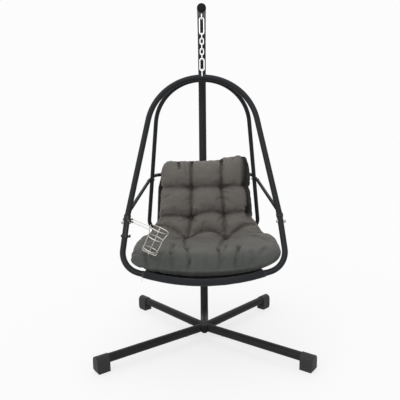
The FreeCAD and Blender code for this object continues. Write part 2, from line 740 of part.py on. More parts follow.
# The cushion's cross-sections from its front edge, down into the seat and up the
# back. Each row: y and z of the underside, tilt of its normal from upright, half
# width, rise of the underside at the edge, thickness, depth of the two creases.
CUSHION_STATIONS = [
    (-452, 538, 18, 318, 36, 34, 2), (-436, 526, 12, 352, 54, 58, 6),
    (-400, 510, 6, 388, 60, 84, 9), (-330, 492, 3, 410, 66, 112, 12),
    (-230, 474, 1, 420, 74, 130, 13), (-120, 468, -2, 420, 80, 138, 14),
    (-40, 474, 8, 412, 78, 128, 18), (30, 502, 26, 402, 72, 110, 30),
    (86, 548, 46, 388, 58, 112, 15), (122, 614, 66, 356, 42, 102, 15),
    (138, 690, 80, 322, 28, 100, 15), (145, 738, 83, 298, 18, 78, 26),
    (154, 826, 83, 286, 14, 98, 15), (160, 890, 84, 284, 11, 96, 14),
    (164, 929, 84, 268, 9, 76, 25), (169, 1000, 84, 280, 7, 98, 14),
    (173, 1056, 84, 276, 5, 90, 12), (176, 1086, 84, 258, 4, 64, 7),
    (178, 1098, 84, 236, 3, 36, 3)]

# The sling lies under the cushion's rows from the third, and its ends are stitched
# to the sleeves. Each end row: y, z, tilt, half width, rise at the edge.
SLING_FRONT = (-464, 488, 4, 322, 46)
SLING_REAR = (189, 1002, 84, 266, 3)
FIRST_SHARED_ROW = 3
LAST_SHARED_ROW = 15
SLING_TAPER = 0.043


def sling_section(y, z, tilt, half_width, rise):
    base, normal = station_frame(y, z, tilt)
    low = [section_point(base, normal, -half_width, rise),
           section_point(base, normal, 0, 0),
           section_point(base, normal, half_width, rise)]
    top = [point + normal * SLING_THICKNESS for point in low]
    edges = [arc_through(low), Part.LineSegment(low[2], top[2]).toShape(),
             arc_through(top[::-1]), Part.LineSegment(top[0], low[0]).toShape()]
    return Part.Wire(edges)


def sling_stations():
    """The sling's rows: its two ends, and between them rows under the cushion."""
    rows = [SLING_FRONT]
    run = 0
    before = CUSHION_STATIONS[FIRST_SHARED_ROW]
    for row in CUSHION_STATIONS[FIRST_SHARED_ROW:LAST_SHARED_ROW]:
        y, z, tilt, cushion_half, rise = row[:5]
        run += math.hypot(y - before[0], z - before[1])
        before = row
        half_width = SLING_FRONT[3] - SLING_TAPER * run
        base, normal = station_frame(y, z, tilt)
        base = base - normal * (SLING_GAP + SLING_THICKNESS)
        rows.append((base.y, base.z, tilt, half_width, rise * (half_width / cushion_half) ** 2))
    return rows + [SLING_REAR]


def clipped(core, half_width):
    """The middle of a bar that runs across, as a solid."""
    box = core.BoundBox
    low = Vector(-half_width, box.YMin - 1, box.ZMin - 1)
    block = Part.makeBox(2 * half_width, box.YLength + 2, box.ZLength + 2, low)
    return core.common(block)


def make_sling(parts):
    """The fabric seat with a sleeve round the bow and one round the back rail."""
    sheet = Part.makeLoft([sling_section(*row) for row in sling_stations()], True, True)
    rail_core = swept(rail_points(), [RAIL_CORNER_RADIUS] * 2, RAIL_D / 2)
    front = clipped(bow_bar(SLEEVE_D / 2), SLEEVE_HALF_WIDTH)
    rear = clipped(swept(rail_points()[1:3], [], RAIL_SLEEVE_D / 2), RAIL_SLEEVE_HALF_WIDTH)
    sling = fused([sheet, front, rear]).cut(bow_bar(ARCH_D / 2)).cut(rail_core)
    parts["sling"] = max(sling.Solids, key=lambda solid: solid.Volume)


def cushion_section(y, z, tilt, half_width, rise, thickness, crease):
    """A section with three pillows on top, two creases and drawn-in sides."""
    base, normal = station_frame(y, z, tilt)
    base = base + X_AXIS * CUSHION_X
    edge = half_width - 0.30 * thickness
    crease_x = half_width * CREASE_SHARE

    def at(across, height):
        sag = rise * ((across + CUSHION_X) / half_width) ** 2
        return section_point(base, normal, across, height + sag)

    right_low, right_high = at(edge, 0), at(edge, thickness * 0.80)
    left_low, left_high = at(-edge, 0), at(-edge, thickness * 0.80)
    right_crease = at(crease_x, thickness - crease)
    left_crease = at(-crease_x, thickness - crease)
    outer_x = (edge + crease_x) / 2
    edges = [arc_through([left_low, at(0, 0), right_low]),
             arc_through([right_low, at(half_width, thickness * 0.4), right_high]),
             arc_through([right_high, at(outer_x, thickness), right_crease]),
             arc_through([right_crease, at(0, thickness + 1), left_crease]),
             arc_through([left_crease, at(-outer_x, thickness), left_high]),
             arc_through([left_high, at(-half_width, thickness * 0.4), left_low])]
    return Part.Wire(edges)


def make_cushion(parts):
    sections = [cushion_section(*station) for station in CUSHION_STATIONS]
    parts["cushion"] = Part.makeLoft(sections, True, True)


# Cup holder

def holder_axis():
    """The joint and the upward direction of the left side tube of the bow."""
    joint, down = bow_side(-1)
    return joint, down * -1


def clamp_ring(distance, height, outer_d):
    joint, up = holder_axis()
    low = joint - up * (distance + height / 2)
    high = joint - up * (distance - height / 2)
    return rod(low, high, outer_d / 2).cut(rod(low, high, ARCH_D / 2 + FIT_GAP))


def cup_point(across, drop):
    """A place in the tilted cup's middle plane, from the centre of its rim."""
    return CUP_CENTRE + Vector(across * cosine(CUP_TILT) - drop * sine(CUP_TILT), 0,
                               -across * sine(CUP_TILT) - drop * cosine(CUP_TILT))


def arm_end(drop):
    """A place on the flared part of the nearest upright, just short of its middle."""
    inward = (CUP_RIM_RADIUS - CUP_RADIUS) * drop / CUP_FLARE
    return cup_point(inward - CUP_RIM_RADIUS - WIRE_END_GAP, drop)


def wire_cup():
    """A flared rim, two rings outside four uprights that meet below, all tilted."""
    wire = HOLDER_WIRE / 2
    foot = CUP_RADIUS * 0.94
    cup = [Part.makeTorus(CUP_RIM_RADIUS, wire, Vector(0, 0, WIRE_END_GAP))]
    for drop in CUP_RING_DROPS:
        share = (drop - CUP_FLARE) / (CUP_HEIGHT - CUP_FLARE)
        radius = CUP_RADIUS + (foot - CUP_RADIUS) * share + HOLDER_WIRE * 0.6
        cup.append(Part.makeTorus(radius, wire, Vector(0, 0, -drop)))
    half = [Vector(-CUP_RIM_RADIUS, 0, 0), Vector(-CUP_RADIUS, 0, -CUP_FLARE),
            Vector(-foot, 0, -CUP_HEIGHT)]
    points = half + [Vector(-point.x, 0, point.z) for point in reversed(half)]
    radii = [CUP_FLARE / 2, CUP_CORNER_RADIUS, CUP_CORNER_RADIUS, CUP_FLARE / 2]
    cup = [turned(ring, 45, Z_AXIS) for ring in cup]
    for spin in (0, 90):
        cup.append(turned(swept(points, radii, wire), spin, Z_AXIS))
    return turned(fused(cup), CUP_TILT, Y_AXIS).translated(CUP_CENTRE)


def make_cup_holder(parts):
    """A wire cup on two arms, from a sleeved upright that two clamps hold to the tube.

    The lower arm starts at the upright, and the upper arm bends down into it.
    """
    joint, up = holder_axis()
    radial = unit(X_AXIS * 0.35 + unit(up.cross(X_AXIS * -1)))
    wire = HOLDER_WIRE / 2
    overhang = 9.0
    sleeve_start = 6.5
    upper = joint - up * UPPER_CLAMP_AT
    lower = joint - up * LOWER_CLAMP_AT
    upright_offset = radial * (CLAMP_D / 2 + wire - 1.0)
    foot = lower + upright_offset - up * overhang
    head = upper + upright_offset + up * overhang
    upright = rod(foot, head, wire)
    cover = rod(foot + up, head - up, wire + ARM_SLEEVE_WALL)

    high_start = upper + upright_offset + up * (ARM_SPREAD / 2)
    low_start = high_start - up * ARM_SPREAD
    high_end = arm_end(HOLDER_WIRE)
    low_end = arm_end(HOLDER_WIRE + ARM_SPREAD)
    heading = unit(high_end - high_start)
    low_start = low_start + heading * WIRE_END_GAP
    bend = [low_start + heading * ARM_BEND_AT + up * WIRE_END_GAP,
            high_start + heading * (ARM_BEND_AT + WIRE_END_GAP), high_end]
    arms = fused([rod(low_start, low_end, wire), swept(bend, [ARM_BEND_RADIUS], wire)])
    sleeve_radius = wire + ARM_SLEEVE_WALL
    hook = bend[:2] + [bend[1] + heading * (ARM_SLEEVE_LENGTH - ARM_BEND_AT / 2)]
    straight = [low_start + heading * sleeve_start, low_start + heading * (ARM_SLEEVE_LENGTH + 12)]
    sleeve = fused([swept(hook, [ARM_BEND_RADIUS], sleeve_radius),
                    rod(straight[0], straight[1], sleeve_radius)])
    clamps = clamp_solid(UPPER_CLAMP_AT).fuse(clamp_solid(LOWER_CLAMP_AT))
    cover = cover.cut(upright).cut(clamps).cut(arms).cut(sleeve)
    sleeves = sleeve.cut(arms).cut(clamps).cut(upright).Solids + cover.Solids
    frame = fused([upright, wire_cup(), arms])
    parts["cup_holder_frame"] = frame
    parts["cup_holder_sleeves"] = Part.makeCompound(sleeves)
    for name, distance in [("upper", UPPER_CLAMP_AT), ("lower", LOWER_CLAMP_AT)]:
        parts["holder_clamp_" + name] = clamp_ring(distance, CLAMP_HEIGHT, CLAMP_D).cut(frame)
    neck = lower + X_AXIS * (CLAMP_D / 2 - 0.5)
    grip = neck + X_AXIS * KNOB_NECK
    knob = fused([rod(neck, grip, KNOB_D / 5), rod(grip, grip + X_AXIS * KNOB_LENGTH, KNOB_D / 2)])
    parts["holder_clamp_knob"] = knob.cut(clamp_solid(LOWER_CLAMP_AT))


def clamp_solid(distance):
    joint, up = holder_axis()
    low = joint - up * (distance + CLAMP_HEIGHT / 2)
    high = joint - up * (distance - CLAMP_HEIGHT / 2)
    return rod(low, high, CLAMP_D / 2)


def main():
    parts = {}
    make_mast(parts)
    make_base(parts)
    make_hanger(parts)
    make_front_hoop(parts)
    make_rear_hoop(parts)
    make_braces(parts)
    make_back_rail(parts)
    make_apex(parts)
    make_sling(parts)
    make_cushion(parts)
    make_cup_holder(parts)
    os.makedirs("parts", exist_ok=True)
    for name, shape in parts.items():
        state = "" if shape.isValid() else " INVALID"
        print(name, len(shape.Solids), round(shape.Volume / 1000, 2), state)
        shape.exportStep("parts/" + name + ".step")


main()
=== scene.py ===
"""The looks of the hanging egg chair: view, light, finishes, cushion and sling.

Metres. The open front faces -Y, +Z is up and z = 0 is the floor. Left is -X.
"""
import json
import math

import bpy
import numpy as np
from mathutils import Matrix, Vector, noise


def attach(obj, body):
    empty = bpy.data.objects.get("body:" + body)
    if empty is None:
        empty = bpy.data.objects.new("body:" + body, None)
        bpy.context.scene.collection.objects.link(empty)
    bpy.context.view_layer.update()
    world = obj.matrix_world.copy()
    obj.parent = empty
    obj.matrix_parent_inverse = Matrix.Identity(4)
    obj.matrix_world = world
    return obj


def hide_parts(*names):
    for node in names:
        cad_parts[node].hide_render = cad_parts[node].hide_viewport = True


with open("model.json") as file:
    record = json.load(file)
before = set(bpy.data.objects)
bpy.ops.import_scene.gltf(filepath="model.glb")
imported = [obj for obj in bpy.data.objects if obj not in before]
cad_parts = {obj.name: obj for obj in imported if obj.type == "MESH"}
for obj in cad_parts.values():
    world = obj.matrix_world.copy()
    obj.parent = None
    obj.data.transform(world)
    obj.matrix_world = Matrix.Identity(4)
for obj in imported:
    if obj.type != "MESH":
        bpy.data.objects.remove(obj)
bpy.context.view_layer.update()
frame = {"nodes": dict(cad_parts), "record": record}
nodes = frame["nodes"]

# View
PHOTO_SIDE = 400.0
FOCAL_PIXELS = 474.0
SENSOR_WIDTH = 36.0
CAMERA_AT = Vector((0.0, -2.874, 1.300))
CAMERA_PITCH = 8.5
CAMERA_YAW = 0.4
CAMERA_ROLL = -0.6

# Room and light
FLOOR_REACH = 60.0
FLOOR_GREY = 0.15
FLOOR_GLOW = 0.715
WORLD_STRENGTH = 0.975
SUN_DISTANCE = 5.0

# Rows of the seat from its front edge, down into the seat and up the back:
# y and z of the cushion's underside, tilt of its normal from upright, half width,
# rise of the underside at the edge, thickness.
SEAT_ROWS = np.array([
    (-0.456, 0.540, 20, 0.318, 0.038, 0.052), (-0.436, 0.527, 12, 0.352, 0.054, 0.066),
    (-0.400, 0.511, 6, 0.386, 0.060, 0.088), (-0.330, 0.492, 3, 0.408, 0.066, 0.118),
    (-0.230, 0.474, 1, 0.420, 0.074, 0.138), (-0.120, 0.468, -2, 0.421, 0.080, 0.146),
    (-0.040, 0.474, 8, 0.414, 0.078, 0.142), (0.030, 0.502, 26, 0.405, 0.072, 0.132),
    (0.086, 0.548, 46, 0.390, 0.058, 0.122), (0.122, 0.614, 66, 0.358, 0.042, 0.112),
    (0.138, 0.690, 80, 0.324, 0.028, 0.108), (0.145, 0.738, 83, 0.300, 0.018, 0.104),
    (0.154, 0.826, 83, 0.286, 0.014, 0.104), (0.160, 0.890, 84, 0.283, 0.011, 0.104),
    (0.164, 0.929, 84, 0.280, 0.009, 0.102), (0.169, 1.000, 84, 0.280, 0.007, 0.102),
    (0.173, 1.056, 84, 0.276, 0.005, 0.094), (0.177, 1.098, 84, 0.262, 0.003, 0.072)])
CUSHION_X = 0.015

# Rows of tufts: index of the seat row, x of the left and the right tuft, how much
# further along the right one is, and how far the crease climbs between and beside them.
TUFT_ROWS = ((8, -0.098, 0.138, 0.006, 0.090, 0.145), (11, -0.076, 0.132, 0.020, 0.026, 0.014),
             (14, -0.073, 0.115, 0.006, 0.002, 0.004))

# For each row of tufts: how far outside them its crease climbs, the crease's depth,
# and how wide and how strong its stitched line is
SIDE_REACHES = (0.17, 0.11, 0.11)
ROW_DEPTHS = (0.017, 0.020, 0.018)
ROW_WIDTHS = (2.2, 1.0, 1.0)
ROW_STRENGTHS = (0.6, 1.0, 1.0)

# The bow's bottom and the back rail, which the sling's sleeves go round
BOW_LOW = Vector((0.0, -0.473, 0.5017))
BOW_LEAN = math.radians(23.3)
BOW_RADIUS = 1.150
BOW_TUBE = 0.016
RAIL_AT = Vector((0.0, 0.196, 1.010))
RAIL_TUBE = 0.011
SLEEVE_HALF_WIDTH = 0.326
RAIL_SLEEVE_HALF_WIDTH = 0.268


def smooth_step(value):
    value = np.clip(value, 0, 1)
    return value * value * (3 - 2 * value)


def valley(distance, width, softness=0.003):
    """1 on a crease and 0 past its width, with a nearly sharp bottom."""
    away = np.sqrt(distance ** 2 + softness ** 2) - softness
    return (1 - np.minimum(1, away / width)) ** 2


def mesh_piece(name, points, faces):
    mesh = bpy.data.meshes.new(name)
    mesh.from_pydata([tuple(point) for point in points], [], faces)
    mesh.polygons.foreach_set("use_smooth", [True] * len(mesh.polygons))
    mesh.update()
    piece = bpy.data.objects.new(name, mesh)
    bpy.context.scene.collection.objects.link(piece)
    return piece


def joined_piece(name, shapes):
    """One piece from several sets of points and faces."""
    points, faces = [], []
    for shape_points, shape_faces in shapes:
        start = len(points)
        points += shape_points
        faces += [tuple(start + index for index in face) for face in shape_faces]
    return mesh_piece(name, points, faces)


def grid_faces(rows, columns, closed=False):
    """Quads between rows of points; closed joins each row's last point to its first."""
    faces = []
    span = columns if closed else columns - 1
    for row in range(rows - 1):
        low, high = row * columns, (row + 1) * columns
        for column in range(span):
            ahead = (column + 1) % columns
            faces.append((low + column, low + ahead, high + ahead, high + column))
    return faces


def apply_modifier(piece, modifier):
    """Makes the shape that the piece's only modifier gives it the piece's own."""
    evaluated = piece.evaluated_get(bpy.context.evaluated_depsgraph_get())
    mesh = bpy.data.meshes.new_from_object(evaluated)
    piece.modifiers.remove(modifier)
    piece.data = mesh


def store_field(mesh, name, values):
    field = mesh.attributes.new(name, "FLOAT", "POINT")
    field.data.foreach_set("value", np.asarray(values, np.float32).ravel())


def read_field(mesh, name):
    values = np.zeros(len(mesh.vertices), np.float32)
    mesh.attributes[name].data.foreach_get("value", values)
    return values


def read_vectors(items, name):
    """One vector of each item, such as co of the vertices, as rows of three."""
    vectors = np.zeros(len(items) * 3, np.float32)
    items.foreach_get(name, vectors)
    return vectors.reshape(-1, 3)


# Finishes

class Finish:
    """A material whose shader and texture nodes are set by socket name."""

    def __init__(self, name, sockets):
        self.material = bpy.data.materials.new(name)
        self.material.use_nodes = True
        self.tree = self.material.node_tree
        self.shader = self.tree.nodes["Principled BSDF"]
        self.place = self.node("ShaderNodeTexCoord").outputs["Object"]
        for socket, value in sockets.items():
            self.put(self.shader.inputs[socket], value)

    def put(self, socket, value):
        if isinstance(value, bpy.types.NodeSocket):
            self.tree.links.new(value, socket)
        else:
            socket.default_value = value

    def node(self, kind, inputs=None, **settings):
        made = self.tree.nodes.new(kind)
        for key, value in settings.items():
            setattr(made, key, value)
        for key, value in (inputs or {}).items():
            self.put(made.inputs[key], value)
        return made

    def noise(self, scale, detail=2.0, roughness=0.5, place=None):
        inputs = {"Vector": place or self.place, "Scale": scale, "Detail": detail,
                  "Roughness": roughness}
        return self.node("ShaderNodeTexNoise", inputs).outputs[0]

    def cells(self, scale):
        """A random value for each crystal-like cell."""
        inputs = {"Vector": self.place, "Scale": scale}
        color = self.node("ShaderNodeTexVoronoi", inputs).outputs["Color"]
        return self.node("ShaderNodeSeparateColor", {"Color": color}).outputs[0]

    def field(self, name):
        """A value that is stored at the mesh's points."""
        return self.node("ShaderNodeAttribute", attribute_name=name).outputs["Fac"]

    def pointiness(self):
        """About 0.5 on flat faces, more on outward edges and less in hollows."""
        return self.node("ShaderNodeNewGeometry").outputs["Pointiness"]

    def math(self, operation, first, second=0.0):
        return self.node("ShaderNodeMath", {0: first, 1: second}, operation=operation).outputs[0]

    def remap(self, value, low, high, to_low, to_high):
        inputs = {"Value": value, "From Min": low, "From Max": high, "To Min": to_low,
                  "To Max": to_high}
        return self.node("ShaderNodeMapRange", inputs).outputs[0]

    def blend(self, share, first, second):
        inputs = {0: share, 6: first, 7: second}
        return self.node("ShaderNodeMix", inputs, data_type="RGBA").outputs[2]

    def choose(self, share, first, second):
        return self.node("ShaderNodeMix", {0: share, 2: first, 3: second}).outputs[0]

    def stretch(self, place, factors):
        inputs = {0: place, 1: factors}
        return self.node("ShaderNodeVectorMath", inputs, operation="MULTIPLY").outputs[0]

    def bump(self, height, strength, distance, normal=None):
        inputs = {"Height": height, "Strength": strength, "Distance": distance}
        if normal:
            inputs["Normal"] = normal
        return self.node("ShaderNodeBump", inputs).outputs[0]

    def bevel(self, radius):
        return self.node("ShaderNodeBevel", {"Radius": radius}, samples=4).outputs[0]

    def edges(self, low, high):
        """0 on flat faces, rising to 1 on sharp outward edges."""
        return self.remap(self.pointiness(), low, high, 0.0, 1.0)

    def wire(self, **sockets):
        for key, value in sockets.items():
            self.put(self.shader.inputs[key.replace("_", " ")], value)
        return self.material


def shade(red, green, blue, factor=1.0):
    return (red * factor, green * factor, blue * factor, 1.0)


def powder_coat(name, color, roughness, specular):
    """Semi-gloss powder coat: fine orange peel, faint cloudiness, rubbed edges."""
    finish = Finish(name, {"Specular IOR Level": specular})
    cloud = finish.noise(9.0, 3.0)
    peel = finish.noise(700.0)
    dust = finish.noise(70.0, 5.0, 0.6)
    tone = finish.blend(cloud, shade(*color, 0.86), shade(*color, 1.16))
    dusty = finish.blend(finish.remap(dust, 0.60, 0.80, 0.0, 0.06), tone, shade(*color, 2.0))
    patches = finish.remap(dust, 0.4, 0.6, 0.0, 0.25)
    rubbed = finish.math("MULTIPLY", finish.edges(0.62, 0.74), patches)
    worn = finish.blend(rubbed, dusty, shade(0.09, 0.09, 0.095))
    rough = finish.remap(cloud, 0.3, 0.7, roughness - 0.04, roughness + 0.05)
    normal = finish.bump(peel, 0.10, 0.0004, finish.bevel(0.0006))
    return finish.wire(Base_Color=worn, Roughness=rough, Normal=normal)


def moulded_plastic(name, color, roughness):
    """Moulded plastic: a fine grain, a few light scuffs, softened edges."""
    finish = Finish(name, {"Specular IOR Level": 0.07})
    grain = finish.noise(1500.0)
    scuff = finish.noise(60.0, 6.0, 0.7)
    marks = finish.remap(scuff, 0.6, 0.74, 0.0, 0.4)
    tone = finish.blend(marks, shade(*color), shade(*color, 2.6))
    edge = finish.math("MULTIPLY", finish.edges(0.52, 0.60), 0.35)
    worn = finish.blend(edge, tone, shade(0.06, 0.06, 0.06))
    rough = finish.remap(scuff, 0.3, 0.7, roughness - 0.07, roughness + 0.08)
    normal = finish.bump(grain, 0.12, 0.0003, finish.bevel(0.0012))
    return finish.wire(Base_Color=worn, Roughness=rough, Normal=normal)


def plated_metal(name, bright, dull, roughness, spangle):
    """Zinc or chrome plating: mottled crystals, fine scratches, darker hollows."""
    finish = Finish(name, {"Metallic": 1.0})
    crystal = finish.math("MULTIPLY", finish.cells(spangle), 0.45)
    haze = finish.math("MULTIPLY", finish.noise(130.0, 4.0, 0.6), 0.55)
    mix = finish.math("ADD", crystal, haze)
    tone = finish.blend(mix, shade(*dull), shade(*bright))
    hollow = finish.remap(finish.pointiness(), 0.40, 0.49, 0.5, 0.0)
    worn = finish.blend(hollow, tone, shade(*dull, 0.35))
    rough = finish.remap(mix, 0.2, 0.8, roughness + 0.08, roughness - 0.05)
    scratches = finish.noise(420.0, 5.0, 0.7)
    normal = finish.bump(scratches, 0.12, 0.0004, finish.bevel(0.0004))
    return finish.wire(Base_Color=worn, Roughness=rough, Normal=normal)


def rubber(name):
    """Dull black rubber with a grain and a faint grey bloom."""
    finish = Finish(name, {"Specular IOR Level": 0.25})
    grain = finish.noise(900.0, 3.0)
    bloom = finish.noise(45.0, 4.0, 0.6)
    tone = finish.blend(bloom, shade(0.012, 0.012, 0.012), shade(0.032, 0.031, 0.030))
    rough = finish.remap(bloom, 0.3, 0.7, 0.58, 0.78)
    return finish.wire(Base_Color=tone, Roughness=rough, Normal=finish.bump(grain, 0.3, 0.0003))


def thread(name, color):
    """Twisted thread whose plies differ a little in tone."""
    finish = Finish(name, {"Sheen Weight": 0.2, "Specular IOR Level": 0.2})
    ply = finish.noise(2200.0)
    tone = finish.blend(ply, shade(*color, 0.7), shade(*color, 1.3))
    rough = finish.remap(ply, 0.3, 0.7, 0.6, 0.8)
    return finish.wire(Base_Color=tone, Roughness=rough, Normal=finish.bump(ply, 0.4, 0.0002))


def weave_height(finish, across, along, pitch):
    """Height of a plain weave, and which yarn is on top, from two surface lengths."""
    turns = math.pi / pitch
    warp = finish.math("SINE", finish.math("MULTIPLY", across, turns))
    weft = finish.math("SINE", finish.math("MULTIPLY", along, turns))
    over = finish.math("GREATER_THAN", finish.math("MULTIPLY", warp, weft), 0.0)
    height = finish.choose(over, finish.math("ABSOLUTE", warp), finish.math("ABSOLUTE", weft))
    return height, over


# The share of its tone that the cloth keeps under painted shade at the seat's front, where it
# turns to the side, and in a hollow, and how far a full hollow goes towards that
FRONT_SHADE = 0.53
TURNED_SHADE = 0.32
HOLLOW_SHADE = 0.22
HOLLOW_SHARE = 0.75


def woven_cloth(name, dark, light, pitch, sheen, depth, mottle):
    """Woven cloth: yarns over and under, uneven yarn colour, slubs, sheen and painted shade."""
    finish = Finish(name, {"Sheen Weight": sheen, "Sheen Roughness": 0.45,
                           "Sheen Tint": shade(0.92, 0.90, 0.88), "Specular IOR Level": 0.12})
    across, along = finish.field("across"), finish.field("along")
    height, over = weave_height(finish, across, along, pitch)
    flat = finish.node("ShaderNodeCombineXYZ", {0: across, 1: along}).outputs[0]
    warp_yarn = finish.noise(420.0, 3.0, 0.6, finish.stretch(flat, (1.0, 0.06, 1.0)))
    weft_yarn = finish.noise(420.0, 3.0, 0.6, finish.stretch(flat, (0.06, 1.0, 1.0)))
    yarn = finish.choose(over, warp_yarn, weft_yarn)
    cloud = finish.noise(7.0, 4.0, 0.6)
    share = finish.math("ADD", finish.remap(yarn, 0.3, 0.7, 0.1, 0.7),
                        finish.remap(cloud, 0.3, 0.7, -mottle, mottle))
    # Darker where the weave is low between the yarns' crowns: painted shade
    share = finish.math("ADD", share, finish.remap(height, 0.0, 1.0, -0.3, 0.15))
    plain = finish.blend(share, shade(*dark), shade(*light))
    # Painted shade: the cloth darker and cooler towards the seat's front
    front_shade_tone = finish.blend(share, shade(dark[2], dark[1], dark[2], FRONT_SHADE),
                          shade(light[2], light[1], light[2], FRONT_SHADE))
    shaded = finish.blend(finish.field("shaded"), plain, front_shade_tone)
    # Painted shade on the back's right side where it turns away from the light
    side_shade = finish.blend(finish.field("side_shade"), shaded, shade(*dark, TURNED_SHADE))
    # Painted shade in stitched seams and creases
    hollow = finish.math("MULTIPLY", finish.field("hollow"), HOLLOW_SHARE)
    tone = finish.blend(hollow, side_shade, shade(*dark, HOLLOW_SHADE))
    rough = finish.remap(yarn, 0.3, 0.7, 0.78, 0.94)
    slubs = finish.bump(finish.noise(160.0, 3.0), 0.25, 0.0008)
    normal = finish.bump(height, depth, pitch * 0.5, slubs)
    return finish.wire(Base_Color=tone, Roughness=rough, Normal=normal)


def make_finishes():
    """Every finish by name, each from its function and what that takes after the name."""
    kinds = {
        "stand_paint": (powder_coat, (0.0118, 0.0118, 0.0120), 0.42, 0.08),
        "basket_paint": (powder_coat, (0.0120, 0.0128, 0.0146), 0.38, 0.09),
        "black_plastic": (moulded_plastic, (0.0065, 0.0065, 0.0070), 0.44),
        "zinc_hanger": (plated_metal, (0.84, 0.85, 0.86), (0.56, 0.57, 0.59), 0.24, 320.0),
        "zinc_fasteners": (plated_metal, (0.44, 0.44, 0.40), (0.22, 0.22, 0.19), 0.30, 500.0),
        "holder_wire": (plated_metal, (0.62, 0.61, 0.57), (0.34, 0.33, 0.31), 0.34, 260.0),
        "sleeve_rubber": (rubber,),
        "sling_fabric": (woven_cloth, (0.005, 0.0055, 0.007), (0.022, 0.024, 0.028),
                         0.0014, 0.10, 0.6, 0.10),
        "cushion_fabric": (woven_cloth, (0.070, 0.065, 0.060), (0.128, 0.118, 0.108),
                           0.0011, 0.10, 0.5, 0.12),
        "sling_thread": (thread, (0.020, 0.020, 0.021)),
        "cushion_thread": (thread, (0.075, 0.071, 0.066)),
    }
    return {name: make(name, *values) for name, (make, *values) in kinds.items()}


def dress(piece, material):
    piece.data.materials.clear()
    piece.data.materials.append(material)


def dress_frame(finishes):
    for part in frame["record"]["subparts"]:
        dress(nodes[part["node"]], finishes[part["material_slot"]])


# Seat profile

# Steps in which the profile is searched; its y rises through the first of them, up to
# SEAT_STEPS, and its z through all from BACK_FROM on
PROFILE_STEPS = 400
SEAT_STEPS = 220
BACK_FROM = 200


class Profile:
    """The seat's rows as smooth functions of the length along the middle line."""

    def __init__(self, rows):
        self.rows = rows
        steps = np.hypot(np.diff(rows[:, 0]), np.diff(rows[:, 1]))
        self.along = np.concatenate([[0], np.cumsum(steps)])
        self.length = self.along[-1]
        self.slopes = np.gradient(rows, self.along, axis=0)
        spans = self.along[2:] - self.along[:-2]
        self.slopes[1:-1] = (rows[2:] - rows[:-2]) / spans[:, None]

    def at(self, along):
        """y, z, tilt, half width, rise and thickness at these lengths, as columns."""
        along = np.clip(np.atleast_1d(along), 0, self.length)
        low = np.clip(np.searchsorted(self.along, along, side="right") - 1, 0, len(self.along) - 2)
        span = self.along[low + 1] - self.along[low]
        share = ((along - self.along[low]) / span)[:, None]
        span = span[:, None]
        square, cube = share ** 2, share ** 3
        value = (self.rows[low] * (2 * cube - 3 * square + 1)
                 + self.slopes[low] * span * (cube - 2 * square + share)
                 + self.rows[low + 1] * (3 * square - 2 * cube)
                 + self.slopes[low + 1] * span * (cube - square))
        return value.T

    def row_at(self, index):
        """The length along the middle line where this row lies."""
        return self.along[index]

    def along_y(self, y):
        """The length where the seat has this y."""
        lengths = np.linspace(0, self.length, PROFILE_STEPS)
        return float(np.interp(y, self.at(lengths)[0][:SEAT_STEPS], lengths[:SEAT_STEPS]))

    def along_z(self, z):
        """The length where the back has this z."""
        lengths = np.linspace(0, self.length, PROFILE_STEPS)
        return float(np.interp(z, self.at(lengths)[1][BACK_FROM:], lengths[BACK_FROM:]))


profile = Profile(SEAT_ROWS)


def normals_of(tilt):
    """The seat's upward normal for each tilt in degrees."""
    angle = np.radians(tilt)
    return np.stack([np.zeros_like(angle), -np.sin(angle), np.cos(angle)], -1)


# Cushion

# The mesh: columns over the top, distance between rows, rows in each rounded end and
# the angle of the first
TOP_COLUMNS = 92
ROW_STEP = 0.0085
END_ROWS = 13
FIRST_TURN = 0.16

# The section's arches: powers in x and in height, and the height to half width and
# the number of steps with which points are spaced evenly over them
TOP_POWERS = (2.5, 2.1)
UNDERSIDE_POWERS = (5.0, 2.2)
SECTION_ASPECT = 0.16
OUTLINE_STEPS = 600

# Lengths over which the ends round off, and how squarely they do
FRONT_ROUNDING = 0.125
UNDERSIDE_ROUNDING = 0.034
TOP_ROUNDING = 0.062
FRONT_POWER = 2.0
TOP_POWER = 2.4

# The length over which the back's top edge is lifted, and the shares of the half width
# in which hollows fade out and the sewn edge is held, and how firmly that is
LIFT_REACH = 0.16
FADE_SHARE = 0.12
EDGE_SHARE = 0.02
EDGE_HOLD = 0.8

# The upright seams' depth at the front edge, where they begin, at each row of tufts
# and at the top edge; how far before the first row they begin; and how near to that
# row their stitching starts
UPRIGHT_DEPTHS = (0.0, 0.003, 0.020, 0.022, 0.020, 0.012)
UPRIGHT_START = 0.09
STITCHING_START = 0.02

# Seams, stitched lines, tufts and the dents that the back's creases make in its sides
SEAM_WIDTH = 0.072
SEAM_DEPTH = 0.009
STITCH_WIDTH = 0.016
STITCH_HOLD = 0.7
TUFT_WIDTH = 0.058
TUFT_DEPTH = 0.022
TUFT_HOLD_RADIUS = 0.011
NOTCH_WIDTH = 0.03
NOTCH_SHARE = 0.030

# The back's right side turns away above z PANEL_FROM, fully so after PANEL_RUN and
# PANEL_TURN past its edge. The edge's x at PANEL_FROM, and PANEL_SHIFT under and over
# z PANEL_UP, where it moves in
PANEL_FROM = 0.70
PANEL_RUN = 0.08
PANEL_TURN = 0.022
PANEL_UP = 0.93
PANEL_SHIFT = 0.02
PANEL_EDGES = (0.264, 0.247, 0.228)
PANEL_DEPTH = 0.030

# The steps in which the cloth swells, how far it may, and the share of the folds that
# is pressed in after that, which ends FOLD_MARGIN from the sides
CLOTH_STEPS = 20
SWELL_LIMIT = 0.022
FOLD_SHARE = 0.55
FOLD_MARGIN = 0.05

# The filling's lumps, as noise scale and height, and the puckers at the edges: height,
# reach, and noise scales along them and from one to the next
LUMPS = ((9.0, 0.0035), (24.0, 0.0012))
PUCKER = 0.0045
PUCKER_REACH = 0.07
PUCKER_SCALES = (8.0, 42.0)

